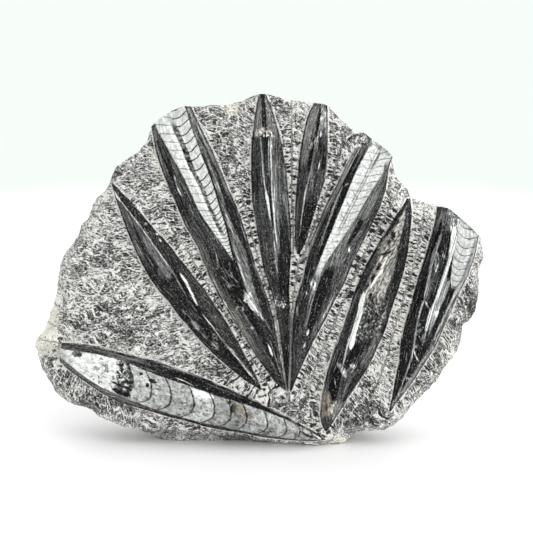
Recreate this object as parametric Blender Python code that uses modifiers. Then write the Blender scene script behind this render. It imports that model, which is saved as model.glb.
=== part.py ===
"""Standing plate of black orthoceras limestone.

One wedge of chiselled grey matrix stands on a flat cut foot. Eight straight-shelled fossils
fan out over its leaning front. Each is a separate solid that sits in its own pocket of the matrix,
and its rounded back stands proud of the stone.

The plate is modelled lying down, in its own face frame: u to the right, v up the face and w out
of the face. It is then stood up with its face leaning back.
"""
import math

import bmesh
import bpy
import numpy as np
from mathutils import Vector, noise

# Driving dimensions, in millimetres and degrees
LEAN = 8.0                # the face leans back from upright
FOOT_DEPTH = 50.0         # from the face's base line to the upright back
RIM_DROP = 8.0            # how far the face rolls back at its edge
RIM_THICK = 10.0          # thickness of the thin outer edge
SIDE_ROLL = 11.0          # width of the roll at the sides
TOP_ROLL = 30.0           # width of the roll along the top
BACK_ROLL = 26.0          # how far in from the edge the back reaches its full depth
RELIEF = 7.0              # how far a fossil's back stands above the face
EMBED = 6.0               # how deep a fossil sits in its pocket
GAP = 0.3                 # clearance between a fossil and its pocket
REMESH = 4.0              # grain of the stone's surface mesh
STONE_FACES = 4300        # triangles kept on the stone
CENTRE = (1.1, -25.0)     # shift that centres the plate's box over the origin

# The view that the outlines are drawn in: a square of 533 units, seen from a little above
VIEW_SIZE = 533.0
VIEW_FOCAL = VIEW_SIZE * 85.0 / 36.0
VIEW_DISTANCE = 840.0
VIEW_TILT = 15.0
VIEW_AIM = (4.3, 125.5)   # the point of the face at the middle of the view

# Outline of the plate, clockwise from the top left corner, in view units
PLATE = [
    (150, 128), (160, 119), (172, 111), (185, 106), (197, 107), (212, 105), (225, 105),
    (238, 102), (246, 98), (256, 94), (268, 94), (280, 96), (290, 99), (302, 101), (314, 103),
    (324, 104), (331, 108), (340, 119), (350, 127), (366, 134), (374, 141), (386, 150),
    (393, 158), (394, 170), (398, 178), (406, 187), (411, 196), (424, 202), (438, 206),
    (446, 207), (458, 216), (470, 227), (481, 238), (484, 250), (484, 262), (480, 270),
    (480, 285), (479, 300), (476, 312), (470, 321), (464, 326), (463, 336), (460, 347),
    (455, 357), (446, 368), (438, 382), (428, 392), (417, 402), (408, 414), (398, 424),
    (386, 431), (370, 432), (355, 433), (345, 436), (335, 443), (320, 447), (300, 446),
    (275, 444), (255, 441), (245, 437), (220, 438), (190, 437), (165, 437), (145, 434),
    (125, 429), (108, 422), (97, 418), (90, 410), (75, 407), (60, 399), (52, 389), (46, 378),
    (40, 368), (37, 352), (34, 346), (36, 338), (45, 328), (48, 312), (54, 302), (56, 290),
    (57, 275), (62, 255), (70, 245), (78, 234), (82, 224), (89, 217), (91, 205), (95, 198),
    (104, 190), (109, 181), (113, 170), (116, 165), (124, 161), (131, 155), (140, 150),
    (146, 141),
]

# Each fossil from its wide end to its tip: its left edge, its right edge, where its ridge lies
# between them (0 left, 1 right), and whether the plate's edge cuts its wide end off
FOSSILS = {
    "orthoceras_lower_left": (
        [(62, 343), (75, 343), (90, 345), (100, 347), (120, 353), (145, 359), (160, 363),
         (190, 374), (210, 384), (230, 392), (260, 406), (290, 420), (315, 432), (325, 440)],
        [(60, 363), (78, 377), (98, 392), (118, 404), (144, 413), (174, 422), (205, 430),
         (240, 437), (280, 441), (312, 443), (325, 441)],
        0.30, False),
    "orthoceras_left": (
        [(110, 184), (113, 192), (118, 205), (127, 230), (133, 245), (140, 260), (150, 278),
         (160, 292), (170, 303), (180, 317), (190, 328), (200, 340), (215, 355), (230, 368),
         (245, 380), (261, 390)],
        [(111, 183), (118, 189), (125, 196), (135, 205), (145, 218), (155, 230), (165, 240),
         (175, 252), (185, 265), (195, 277), (205, 290), (213, 302), (222, 315), (230, 328),
         (240, 345), (248, 360), (256, 375), (262, 389)],
        0.50, False),
    "orthoceras_chambered_left": (
        [(151, 130), (155, 150), (160, 165), (170, 190), (178, 208), (185, 225), (198, 247),
         (203, 262), (210, 278), (224, 305), (240, 330), (257, 357), (275, 382), (285, 391)],
        [(197, 108), (203, 120), (210, 140), (215, 155), (221, 170), (230, 195), (240, 217),
         (245, 230), (250, 250), (257, 270), (263, 285), (269, 302), (274, 320), (280, 355),
         (286, 390)],
        0.55, True),
    "orthoceras_centre": (
        [(258, 97), (254, 120), (252, 140), (251, 150), (251, 170), (252, 200), (257, 230),
         (260, 250), (264, 270), (270, 288), (274, 303), (278, 320), (282, 350), (287, 391)],
        [(272, 97), (276, 120), (282, 140), (283, 150), (286, 170), (289, 200), (291, 230),
         (291, 250), (290, 270), (289, 290), (290, 305), (290.5, 320), (290, 350), (288.5, 391)],
        0.45, True),
    "orthoceras_short": (
        [(310, 105), (307, 120), (302, 140), (299, 160), (297, 180), (295.5, 200), (295, 220),
         (294.5, 240), (297, 254)],
        [(328, 106), (328, 120), (328, 140), (328, 160), (325, 180), (319, 200), (311, 220),
         (304, 240), (299, 254)],
        0.50, True),
    "orthoceras_chambered_right": (
        [(357, 141), (347, 160), (337, 180), (325, 203), (317, 225), (310, 243), (306, 265),
         (301, 285), (296, 300), (292.5, 320), (291.5, 350), (290, 391)],
        [(393, 158), (390, 167), (386, 190), (380, 207), (370, 228), (360, 247), (353, 262),
         (345, 282), (335, 300), (325, 320), (315, 338), (307, 355), (300, 370), (292, 390)],
        0.55, True),
    "orthoceras_right": (
        [(408, 199), (395, 217), (380, 240), (366, 265), (355, 290), (348, 312), (340, 335),
         (332, 355), (327, 372), (322, 395), (320, 415), (322, 425), (325, 431)],
        [(415, 200), (411, 228), (408, 250), (404, 270), (398, 290), (391, 310), (385, 330),
         (377, 348), (368, 368), (357, 384), (345, 403), (333, 422), (327, 431)],
        0.50, False),
    "orthoceras_far_right": (
        [(439, 207), (433, 228), (427, 250), (421, 268), (416, 285), (411, 303), (406, 320),
         (401, 340), (399, 360), (395, 380), (392, 397), (389, 411)],
        [(480, 238), (475, 255), (468, 275), (460, 290), (452, 308), (443, 328), (435, 347),
         (425, 362), (415, 378), (405, 392), (397, 402), (391, 411)],
        0.55, True),
}

MM = 0.001
LEAN_SIN = math.sin(math.radians(LEAN))
LEAN_COS = math.cos(math.radians(LEAN))


def stand(u, v, w):
    """A point of the face frame as a point of the upright plate."""
    return np.array([u, v * LEAN_SIN - w * LEAN_COS, v * LEAN_COS + w * LEAN_SIN])


def cast(points, w):
    """View units to (u, v) on the plane at height w over the face."""
    tilt = math.radians(VIEW_TILT)
    ahead = np.array([0.0, math.cos(tilt), -math.sin(tilt)])
    up = np.array([0.0, math.sin(tilt), math.cos(tilt)])
    eye = stand(VIEW_AIM[0], VIEW_AIM[1], 0.0) - ahead * VIEW_DISTANCE
    normal = np.array([0.0, -LEAN_COS, LEAN_SIN])
    flat = []
    for x, y in points:
        ray = ahead + up * (VIEW_SIZE / 2 - y) / VIEW_FOCAL
        ray[0] += (x - VIEW_SIZE / 2) / VIEW_FOCAL
        hit = eye + ray * (w - eye @ normal) / (ray @ normal)
        flat.append((hit[0], hit[1] * LEAN_SIN + hit[2] * LEAN_COS))
    return np.array(flat)


def smooth(x):
    x = np.clip(x, 0.0, 1.0)
    return x * x * (3.0 - 2.0 * x)


def nearest(points, line):
    """Distance to a clockwise polyline, and the inward normal of its nearest stretch."""
    best = np.full(len(points), 1e9)
    inward = np.zeros((len(points), 2))
    for a, b in zip(line[:-1], line[1:]):
        run = b - a
        share = np.clip(((points - a) @ run) / max(run @ run, 1e-9), 0.0, 1.0)
        offset = a + share[:, None] * run - points
        dist = np.hypot(offset[:, 0], offset[:, 1])
        closer = dist < best
        best[closer] = dist[closer]
        inward[closer] = np.array([run[1], -run[0]]) / np.hypot(*run)
    return best, inward


RIM = cast(PLATE, -RIM_DROP)
RIM_CLOSED = np.vstack([RIM, RIM[:1]])
FOOT_FROM = 54            # the outline's points that stand on the foot
FOOT_TO = 63
FREE_RIM = np.vstack([RIM[FOOT_TO:], RIM[:FOOT_FROM + 1]])


def face_height(points):
    """Height of the chiselled face: flat in the middle, rolled back along the rim."""
    edge, _ = nearest(points, RIM_CLOSED)
    roll = SIDE_ROLL + (TOP_ROLL - SIDE_ROLL) * smooth((points[:, 1] - 150.0) / 60.0)
    return -RIM_DROP * (1.0 - smooth(0.5 + 0.5 * edge / roll)) * 2.0


def back_height(points):
    """Height of the back: upright and deep in the middle, thin along the free rim."""
    edge, _ = nearest(points, FREE_RIM)
    full = -(FOOT_DEPTH - points[:, 1] * LEAN_SIN) / LEAN_COS
    thin = -RIM_DROP - RIM_THICK
    deep = np.sqrt(np.clip(edge / BACK_ROLL, 0.0, 1.0))
    return np.minimum(thin + (full - thin) * deep, thin)


def clear_scene():
    for obj in list(bpy.data.objects):
        bpy.data.objects.remove(obj, do_unlink=True)


def collection(name):
    made = bpy.data.collections.new(name)
    bpy.context.scene.collection.children.link(made)
    return made


def stone(name, colour, roughness):
    mat = bpy.data.materials.new(name)
    mat.use_nodes = True
    shader = mat.node_tree.nodes["Principled BSDF"]
    shader.inputs["Base Color"].default_value = (*colour, 1.0)
    shader.inputs["Roughness"].default_value = roughness
    shader.inputs["Metallic"].default_value = 0.0
    return mat


def evaluated(obj):
    """The object's mesh with its modifiers applied."""
    bpy.context.view_layer.update()
    graph = bpy.context.evaluated_depsgraph_get()
    return bpy.data.meshes.new_from_object(obj.evaluated_get(graph))


def apply_modifiers(obj):
    mesh = evaluated(obj)
    obj.modifiers.clear()
    obj.data = mesh


def subtract(obj, cutter):
    cut = obj.modifiers.new("cut", "BOOLEAN")
    cut.operation = "DIFFERENCE"
    cut.object = cutter
    apply_modifiers(obj)


def hide(cutter):
    cutter.hide_render = True
    cutter.display_type = "WIRE"


def plate_blank(home):
    """The outline as a flat slab with an even grain, 20 mm thick."""
    curve = bpy.data.curves.new("plate_outline", "CURVE")
    curve.dimensions = "2D"
    curve.fill_mode = "BOTH"
    curve.extrude = 10.0 * MM
    spline = curve.splines.new("POLY")
    spline.points.add(len(RIM) - 1)
    for point, (u, v) in zip(spline.points, RIM):
        point.co = (u * MM, v * MM, 0.0, 1.0)
    spline.use_cyclic_u = True
    outline = bpy.data.objects.new("plate_outline", curve)
    home.objects.link(outline)
    mesh = evaluated(outline)
    bpy.data.objects.remove(outline, do_unlink=True)
    welded = bmesh.new()
    welded.from_mesh(mesh)
    bmesh.ops.remove_doubles(welded, verts=welded.verts, dist=0.00001)
    bmesh.ops.recalc_face_normals(welded, faces=welded.faces)
    welded.to_mesh(mesh)
    welded.free()
    blank = bpy.data.objects.new("matrix_slab", mesh)
    home.objects.link(blank)
    grain = blank.modifiers.new("grain", "REMESH")
    grain.mode = "VOXEL"
    grain.voxel_size = REMESH * MM
    apply_modifiers(blank)
    return blank


def shape_stone(blank):
    """Wedge, rolled rim, flared foot and the lumps and ledges of broken stone."""
    mesh = blank.data
    co = np.empty(len(mesh.vertices) * 3)
    mesh.vertices.foreach_get("co", co)
    co = co.reshape(-1, 3) / MM
    flat = co[:, :2].copy()
    depth = np.clip((10.0 - co[:, 2]) / 20.0, 0.0, 1.0)
    edge, inward = nearest(flat, RIM_CLOSED)
    near_rim = np.clip(1.0 - edge / 9.0, 0.0, 1.0)
    inset = 1.6 * smooth(1.0 - depth / 0.3) + 7.0 * smooth((depth - 0.35) / 0.65)
    inset *= near_rim
    flat += inward * inset[:, None]
    front = face_height(flat)
    back = back_height(flat)
    w = front + (back - front) * depth
    # The foot flares down behind the raised front edge
    over_foot = smooth((flat[:, 0] + 82.0) / 26.0) * smooth((70.0 - flat[:, 0]) / 24.0)
    low = np.clip(1.0 - flat[:, 1] / 26.0, 0.0, 1.2)
    flat[:, 1] -= 15.0 * over_foot * low * smooth((depth - 0.06) / 0.3)
    # Lumps: fine on the face, coarse on the edge and on the broken back
    for i in range(len(flat)):
        p = Vector((flat[i, 0], flat[i, 1], w[i]))
        coarse = noise.noise(p / 40.0 + Vector((5.3, 1.7, 8.1)))
        middle = noise.noise(p / 13.0 + Vector((2.1, 9.4, 3.3)))
        scallop = noise.voronoi(p / 24.0)[0][0] - 0.45
        rough = smooth((depth[i] - 0.12) / 0.5)
        below = smooth((46.0 - flat[i, 1]) / 20.0) * smooth((-20.0 - flat[i, 0]) / 50.0)
        w[i] += 0.5 * middle + rough * (4.0 * coarse + 1.0 * middle + 5.0 * scallop)
        w[i] += (1.0 - rough) * below * (1.6 * middle + 2.0 * scallop - 0.8)
        flat[i] += inward[i] * near_rim[i] * (1.2 * middle + 2.2 * rough * (scallop + 0.2))
    co[:, 0] = flat[:, 0]
    co[:, 1] = flat[:, 1]
    co[:, 2] = w
    mesh.vertices.foreach_set("co", (co * MM).ravel())
    mesh.update()
    faces = sum(len(p.vertices) - 2 for p in mesh.polygons)
    thin = blank.modifiers.new("thin", "DECIMATE")
    thin.ratio = STONE_FACES / faces
    apply_modifiers(blank)


def even(line, shares):
    """Points of a polyline at shares of its length."""
    steps = np.hypot(*np.diff(line, axis=0).T)
    run = np.concatenate([[0.0], np.cumsum(steps)]) / steps.sum()
    return np.column_stack([np.interp(shares, run, line[:, i]) for i in range(2)])


def rings_to_mesh(name, rings):
    """A closed body lofted through rings of equal point count."""
    shape = bmesh.new()
    rows = [[shape.verts.new(Vector(p) * MM) for p in ring] for ring in rings]
    count = len(rows[0])
    for row, following in zip(rows[:-1], rows[1:]):
        for i in range(count):
            j = (i + 1) % count
            shape.faces.new((row[i], row[j], following[j], following[i]))
    shape.faces.new(rows[0][::-1])
    shape.faces.new(rows[-1])
    bmesh.ops.recalc_face_normals(shape, faces=shape.faces)
    mesh = bpy.data.meshes.new(name)
    shape.to_mesh(mesh)
    shape.free()
    return mesh


def spindle(name, left, right, ridge, cut_off, pocket):
    """A fossil between its two edges, or the pocket that it sits in."""
    shares = np.linspace(0.0, 1.0, 18)
    a = even(cast(left, 0.0), shares)
    b = even(cast(right, 0.0), shares)
    across = b - a
    width = np.hypot(across[:, 0], across[:, 1])
    along = across / np.maximum(width, 1e-6)[:, None]
    spare = np.maximum(1.3 - width, 0.0) / 2
    a = a - along * spare[:, None]
    b = b + along * spare[:, None]
    if pocket:
        a = a - along * GAP
        b = b + along * GAP
        middle = (a + b) / 2
        lead = middle[0] - middle[1]
        lead *= (14.0 if cut_off else GAP) / np.hypot(*lead)
        trail = middle[-1] - middle[-2]
        trail *= GAP / np.hypot(*trail)
        a = np.vstack([a[0] + lead, a, a[-1] + trail])
        b = np.vstack([b[0] + lead, b, b[-1] + trail])
    base = face_height((a + b) / 2)
    rings = []
    for i in range(len(a)):
        span = b[i] - a[i]
        wide = np.hypot(*span)
        rise = min(RELIEF, 0.42 * wide)
        deep = min(EMBED, 1.5 + 0.5 * wide)
        if pocket:
            profile = [(0.0, 16.0), (0.0, -deep - GAP), (1.0, -deep - GAP), (1.0, 16.0)]
        else:
            k = ridge
            profile = [
                (0.0, -deep), (0.0, 0.10 * rise), (0.10, 0.52 * rise), (0.5 * k + 0.10, 0.86 * rise),
                (k, rise), (0.45 + 0.5 * k, 0.86 * rise), (0.90, 0.52 * rise),
                (1.0, 0.10 * rise), (1.0, -deep),
            ]
        rings.append([(*(a[i] + span * s), base[i] + h) for s, h in profile])
    return rings_to_mesh(name, rings)


def main():
    clear_scene()
    parts = collection("orthoceras_plate")
    cutters = collection("cutters")
    upright = bpy.data.objects.new("upright", None)
    parts.objects.link(upright)
    upright.rotation_euler = (math.radians(90.0 - LEAN), 0.0, 0.0)
    upright.location = (CENTRE[0] * MM, CENTRE[1] * MM, 0.0)

    slab = plate_blank(parts)
    shape_stone(slab)
    slab.parent = upright

    # The flat cut foot
    bpy.ops.mesh.primitive_cube_add(size=1.0, location=(0.0, 0.0, -0.05))
    floor = bpy.context.object
    floor.name = "foot_cut"
    floor.scale = (0.6, 0.4, 0.1)
    for owner in list(floor.users_collection):
        owner.objects.unlink(floor)
    cutters.objects.link(floor)
    hide(floor)
    subtract(slab, floor)

    limestone = stone("chiselled_grey_limestone", (0.30, 0.30, 0.29), 0.85)
    slab.data.materials.clear()
    slab.data.materials.append(limestone)

    for name, (left, right, ridge, cut_off) in FOSSILS.items():
        cutter = bpy.data.objects.new(name + "_pocket", spindle(name, left, right, ridge, cut_off, True))
        cutters.objects.link(cutter)
        cutter.parent = upright
        hide(cutter)
        subtract(slab, cutter)
        fossil = bpy.data.objects.new(name, spindle(name, left, right, ridge, cut_off, False))
        parts.objects.link(fossil)
        fossil.parent = upright
        fossil.data.materials.append(stone(name + "_polish", (0.03, 0.03, 0.035), 0.22))


main()
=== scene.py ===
"""Looks of a standing orthoceras plate: chiselled limestone with polished fossils."""
import math

import bmesh
import bpy
import numpy as np
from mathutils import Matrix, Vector, noise


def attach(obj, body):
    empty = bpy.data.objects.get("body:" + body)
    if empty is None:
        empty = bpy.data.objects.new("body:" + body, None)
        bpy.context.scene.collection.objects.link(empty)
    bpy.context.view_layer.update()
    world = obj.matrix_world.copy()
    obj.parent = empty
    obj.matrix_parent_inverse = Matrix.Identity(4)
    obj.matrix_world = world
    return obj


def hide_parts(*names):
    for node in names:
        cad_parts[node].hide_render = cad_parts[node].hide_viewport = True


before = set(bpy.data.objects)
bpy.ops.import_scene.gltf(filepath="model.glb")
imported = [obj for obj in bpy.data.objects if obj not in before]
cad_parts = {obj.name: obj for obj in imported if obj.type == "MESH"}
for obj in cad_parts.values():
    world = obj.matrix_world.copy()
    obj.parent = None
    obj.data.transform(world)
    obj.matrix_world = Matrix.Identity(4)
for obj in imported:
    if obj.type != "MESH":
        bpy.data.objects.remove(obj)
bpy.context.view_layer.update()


# The stone plate
# One wedge of dark grey Orthoceras limestone. Its leaning face is dressed with a small point
# chisel, which bruises the stone white; the edge is knocked off and the back left as it broke.
MM = 0.001
LEAN = math.radians(8.0)
CENTRE = (1.1, -25.0)
FOOT_DEPTH = 50.0
FACE_ROLL = 16.0           # how far the face rolls back past the rim
RIM_THICKNESS = 18.0
BLANK_HALF = 10.0          # half the thickness of the flat blank that is bent into the wedge

# The view that every traced line is drawn in: a square of 533 units seen from a little above
VIEW_SIZE = 533.0
VIEW_LENS = 85.0
VIEW_SENSOR = 36.0
VIEW_FOCAL = VIEW_SIZE * VIEW_LENS / VIEW_SENSOR
VIEW_DISTANCE = 840.0
VIEW_TILT = math.radians(15.0)
VIEW_AIM = (4.3, 125.5)

PLATE = [
    (150, 128), (160, 119), (172, 111), (185, 106), (197, 107), (212, 105), (225, 105),
    (238, 102), (246, 98), (256, 94), (268, 94), (280, 96), (290, 99), (302, 101), (314, 103),
    (324, 104), (331, 108), (340, 119), (350, 127), (366, 134), (374, 141), (386, 150),
    (393, 158), (394, 170), (398, 178), (406, 187), (411, 196), (424, 202), (438, 206),
    (446, 207), (458, 216), (470, 227), (481, 238), (484, 250), (484, 262), (480, 270),
    (480, 285), (479, 300), (476, 312), (470, 321), (464, 326), (463, 336), (460, 347),
    (455, 357), (446, 368), (438, 382), (428, 392), (417, 402), (408, 414), (398, 424),
    (386, 431), (370, 432), (355, 433), (345, 436), (335, 443), (320, 447), (300, 446),
    (275, 444), (255, 441), (245, 437), (220, 438), (190, 437), (165, 437), (145, 434),
    (125, 429), (108, 422), (97, 418), (90, 410), (75, 407), (60, 399), (52, 389), (46, 378),
    (40, 368), (37, 352), (34, 346), (36, 338), (45, 328), (48, 312), (54, 302), (56, 290),
    (57, 275), (62, 255), (70, 245), (78, 234), (82, 224), (89, 217), (91, 205), (95, 198),
    (104, 190), (109, 181), (113, 170), (116, 165), (124, 161), (131, 155), (140, 150),
    (146, 141),
]
ON_FOOT = slice(55, 63)    # the outline's points that stand on the foot

# Each fossil's two edges, from its wide end to its tip: the chisel strokes start from them
FOSSILS = {
    "orthoceras_lower_left": (
        [(62, 343), (75, 343), (90, 345), (100, 347), (120, 352.5), (145, 358.5), (160, 362),
         (190, 372.5), (210, 380.5), (230, 389.5), (260, 403), (290, 418.5), (315, 432),
         (325, 440)],
        [(60, 361), (67, 368), (78, 376), (87, 382.5), (103, 393.5), (120, 402), (137, 407),
         (153, 411.5), (170, 416.5), (187, 421), (203, 425.5), (220, 429.5), (240, 433.5),
         (262, 437.5), (285, 440.5), (312, 442), (325, 441)]),
    "orthoceras_left": (
        [(110, 184), (113, 192), (118, 205), (127, 230), (133, 245), (140, 260), (150, 278),
         (160, 292), (170, 303), (180, 317), (190, 328), (200, 340), (215, 355), (230, 368),
         (245, 380), (261, 390)],
        [(111, 183), (118, 189), (125, 196), (135, 205), (145, 218), (155, 230), (165, 240),
         (175, 252), (185, 265), (195, 277), (205, 290), (213, 302), (222, 315), (230, 328),
         (240, 345), (248, 360), (256, 375), (262, 389)]),
    "orthoceras_chambered_left": (
        [(151, 130), (155, 150), (160, 165), (170, 190), (178, 208), (185, 225), (198, 247),
         (203, 262), (210, 278), (224, 305), (240, 330), (257, 357), (275, 382), (285, 391)],
        [(191, 108), (197, 120), (207, 140), (213, 151), (221, 170), (229, 190), (239, 212),
         (245, 230), (250, 247), (257, 270), (263, 285), (269, 302), (274, 320), (280, 355),
         (286, 390)]),
    "orthoceras_centre": (
        [(258, 97), (254, 120), (252, 140), (251, 150), (251, 170), (252, 200), (257, 230),
         (260, 250), (264, 270), (270, 288), (274, 303), (278, 320), (282, 350), (287, 391)],
        [(267, 96), (271, 105), (275, 118), (279.5, 133), (283, 150), (286, 170), (289, 200),
         (291, 230), (291, 250), (290, 270), (289, 290), (290, 305), (290.5, 320), (290, 350),
         (288.5, 391)]),
    "orthoceras_short": (
        [(313.5, 105), (310, 111), (307, 119), (304, 130), (302, 140), (299, 160), (297, 180),
         (295.5, 200), (295, 220), (294.5, 240), (297, 254)],
        [(328, 106), (328, 120), (328, 140), (328, 160), (325, 180), (318.5, 200), (312.5, 220),
         (306.5, 240), (300, 254)]),
    "orthoceras_chambered_right": (
        [(357.5, 145), (349, 160), (338.8, 180), (333.3, 191), (326.5, 203), (317.5, 225),
         (310, 243), (306, 265), (301, 285), (296, 300), (292.5, 320), (291.5, 350), (290, 391)],
        [(393, 158), (390, 167), (386, 190), (380, 207), (370, 228), (360, 247), (353, 262),
         (345, 282), (335, 300), (325, 320), (315, 338), (307, 355), (300, 370), (292, 390)]),
    "orthoceras_right": (
        [(408, 199), (395, 217), (380, 240), (366, 265), (355, 290), (348, 312), (340, 335),
         (332, 355), (327, 372), (322, 395), (320, 415), (322, 425), (325, 431)],
        [(411.5, 199), (412, 212), (410.5, 228), (408, 250), (404, 270), (398, 290), (391, 310),
         (385, 330), (377, 348), (368, 368), (357, 384), (345, 403), (333, 422), (327, 431)]),
    "orthoceras_far_right": (
        [(439, 207), (433, 228), (427, 250), (421, 268), (416, 285), (411, 303), (406, 320),
         (401, 340), (399, 360), (395, 380), (392, 397), (389, 411)],
        [(480, 238), (475, 255), (468, 275), (460, 290), (452, 308), (443, 328), (435, 347),
         (425, 362), (415, 378), (405, 392), (397, 402), (391, 411)]),
}


def smooth(x):
    """From 0 to 1 with a soft start and end."""
    x = np.clip(x, 0.0, 1.0)
    return x * x * (3.0 - 2.0 * x)


def stand(points):
    """Face frame (u, v, w) in mm to the upright plate in mm, centred over its foot."""
    u, v, w = np.asarray(points, float).T
    return np.column_stack([
        u + CENTRE[0],
        v * math.sin(LEAN) - w * math.cos(LEAN) + CENTRE[1],
        v * math.cos(LEAN) + w * math.sin(LEAN),
    ])


AHEAD = np.array([0.0, math.cos(VIEW_TILT), -math.sin(VIEW_TILT)])
UPWARD = np.array([0.0, math.sin(VIEW_TILT), math.cos(VIEW_TILT)])
EYE = stand([(*VIEW_AIM, 0.0)])[0] - AHEAD * VIEW_DISTANCE


def cast(points, w=0.0):
    """Traced points to (u, v) on the plane at height w over the face."""
    points = np.asarray(points, float)
    ray = AHEAD + UPWARD * ((VIEW_SIZE / 2 - points[:, 1]) / VIEW_FOCAL)[:, None]
    ray[:, 0] += (points[:, 0] - VIEW_SIZE / 2) / VIEW_FOCAL
    normal = np.array([0.0, -math.cos(LEAN), math.sin(LEAN)])
    base = np.array([CENTRE[0], CENTRE[1], 0.0])
    reach = (w - (EYE - base) @ normal) / (ray @ normal)
    hit = EYE + ray * reach[:, None] - base
    return np.column_stack([hit[:, 0], hit[:, 1] * math.sin(LEAN) + hit[:, 2] * math.cos(LEAN)])


def seen(points):
    """Face frame points to the view's units."""
    offset = stand(points) - EYE
    far = offset @ AHEAD
    return np.column_stack([
        VIEW_SIZE / 2 + VIEW_FOCAL * offset[:, 0] / far,
        VIEW_SIZE / 2 - VIEW_FOCAL * (offset @ UPWARD) / far,
    ])


def nearest(points, line):
    """For each point: distance to a polyline, its side, how far along, and the way across."""
    points = np.asarray(points, float)
    line = np.asarray(line, float)
    best = np.full(len(points), 1e9)
    side = np.zeros(len(points))
    along = np.zeros(len(points))
    inward = np.zeros((len(points), 2))
    done = 0.0
    for a, b in zip(line[:-1], line[1:]):
        run = b - a
        length = math.hypot(*run)
        share = np.clip(((points - a) @ run) / max(length * length, 1e-9), 0.0, 1.0)
        offset = a + share[:, None] * run - points
        dist = np.hypot(offset[:, 0], offset[:, 1])
        closer = dist < best
        best[closer] = dist[closer]
        side[closer] = (run[0] * offset[:, 1] - run[1] * offset[:, 0])[closer]
        along[closer] = (done + share * length)[closer]
        inward[closer] = np.array([run[1], -run[0]]) / max(length, 1e-9)
        done += length
    return best, np.sign(side), along, inward


RIM = cast(PLATE, -FACE_ROLL / 2)
RIM_CLOSED = np.vstack([RIM, RIM[:1]])
FREE_RIM = np.vstack([RIM[ON_FOOT.stop:], RIM[:ON_FOOT.start]])


def face_height(points):
    """The dressed face: flat in the middle, rolled back along the rim."""
    edge = nearest(points, RIM_CLOSED)[0]
    roll = 11.0 + 19.0 * smooth((points[:, 1] - 150.0) / 60.0)
    return -FACE_ROLL * (1.0 - smooth(0.5 + 0.5 * edge / roll))


def mesh_object(name, mesh):
    """A new object in the scene that holds the mesh or curve."""
    made = bpy.data.objects.new(name, mesh)
    bpy.context.scene.collection.objects.link(made)
    return made


def evaluated(obj):
    """The object's mesh with its modifiers worked out."""
    bpy.context.view_layer.update()
    return bpy.data.meshes.new_from_object(obj.evaluated_get(bpy.context.evaluated_depsgraph_get()))


def bake_modifiers(obj):
    """Keep what the modifiers make and drop them."""
    mesh = evaluated(obj)
    obj.modifiers.clear()
    obj.data = mesh


def coordinates(mesh):
    """The mesh's points in mm."""
    co = np.empty(len(mesh.vertices) * 3)
    mesh.vertices.foreach_get("co", co)
    return co.reshape(-1, 3) / MM


def place(mesh, co):
    """Move the mesh's points to places in mm."""
    mesh.vertices.foreach_set("co", (np.asarray(co) * MM).ravel())
    mesh.update()


def put(mesh, name, values):
    """A number or a vector per vertex, which the materials read."""
    values = np.asarray(values, np.float32)
    kind, field = ("FLOAT", "value") if values.ndim == 1 else ("FLOAT_VECTOR", "vector")
    mesh.attributes.new(name, kind, "POINT").data.foreach_set(field, values.ravel())


def turn_outward(mesh, weld=0.0):
    """Turn all faces outward, once points that are closer than weld are joined."""
    loose = bmesh.new()
    loose.from_mesh(mesh)
    if weld:
        bmesh.ops.remove_doubles(loose, verts=loose.verts, dist=weld)
    bmesh.ops.recalc_face_normals(loose, faces=loose.faces)
    loose.to_mesh(mesh)
    loose.free()


def plate_blank():
    """A flat slab with the plate's outline, in a fine even mesh that is coarser at the back."""
    curve = bpy.data.curves.new("plate_outline", "CURVE")
    curve.dimensions = "2D"
    curve.fill_mode = "BOTH"
    curve.extrude = BLANK_HALF * MM
    spline = curve.splines.new("POLY")
    spline.points.add(len(RIM) - 1)
    for point, (u, v) in zip(spline.points, RIM):
        point.co = (u * MM, v * MM, 0.0, 1.0)
    spline.use_cyclic_u = True
    outline = mesh_object("plate_outline", curve)
    mesh = evaluated(outline)
    bpy.data.objects.remove(outline)
    turn_outward(mesh, 0.01 * MM)
    blank = mesh_object("matrix_stone", mesh)
    grain = blank.modifiers.new("grain", "REMESH")
    grain.mode = "VOXEL"
    grain.voxel_size = 1.05 * MM
    bake_modifiers(blank)
    hidden = blank.vertex_groups.new(name="broken_back")
    hidden.add([v.index for v in blank.data.vertices if v.co.z < -4.0 * MM], 1.0, "REPLACE")
    thin = blank.modifiers.new("thin", "DECIMATE")
    thin.ratio = 0.62
    thin.vertex_group = hidden.name
    bake_modifiers(blank)
    return blank


matrix = plate_blank()
flat = coordinates(matrix.data)
depth = np.clip((BLANK_HALF - flat[:, 2]) / (2 * BLANK_HALF), 0.0, 1.0)
uv = flat[:, :2].copy()
edge, _, _, inward = nearest(uv, RIM_CLOSED)
near_rim = np.clip(1.0 - edge / 9.0, 0.0, 1.0)
inset = near_rim * (1.6 * smooth(1.0 - depth / 0.3) + 7.0 * smooth((depth - 0.35) / 0.65))
uv += inward * inset[:, None]
front = face_height(uv)
free = nearest(uv, FREE_RIM)[0]
full = -(FOOT_DEPTH - uv[:, 1] * math.sin(LEAN)) / math.cos(LEAN)
back = -RIM_THICKNESS + (full + RIM_THICKNESS) * np.sqrt(np.clip(free / 26.0, 0.0, 1.0))
back = np.minimum(back, -RIM_THICKNESS)
w = front + (back - front) * depth
# Between its two ends the foot is drawn down to a flat cut
over_foot = smooth((uv[:, 0] + 82.0) / 26.0) * smooth((70.0 - uv[:, 0]) / 24.0)
low = np.clip(1.0 - uv[:, 1] / 26.0, 0.0, 1.2)
uv[:, 1] -= 15.0 * over_foot * low * smooth((depth - 0.06) / 0.3)
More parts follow.
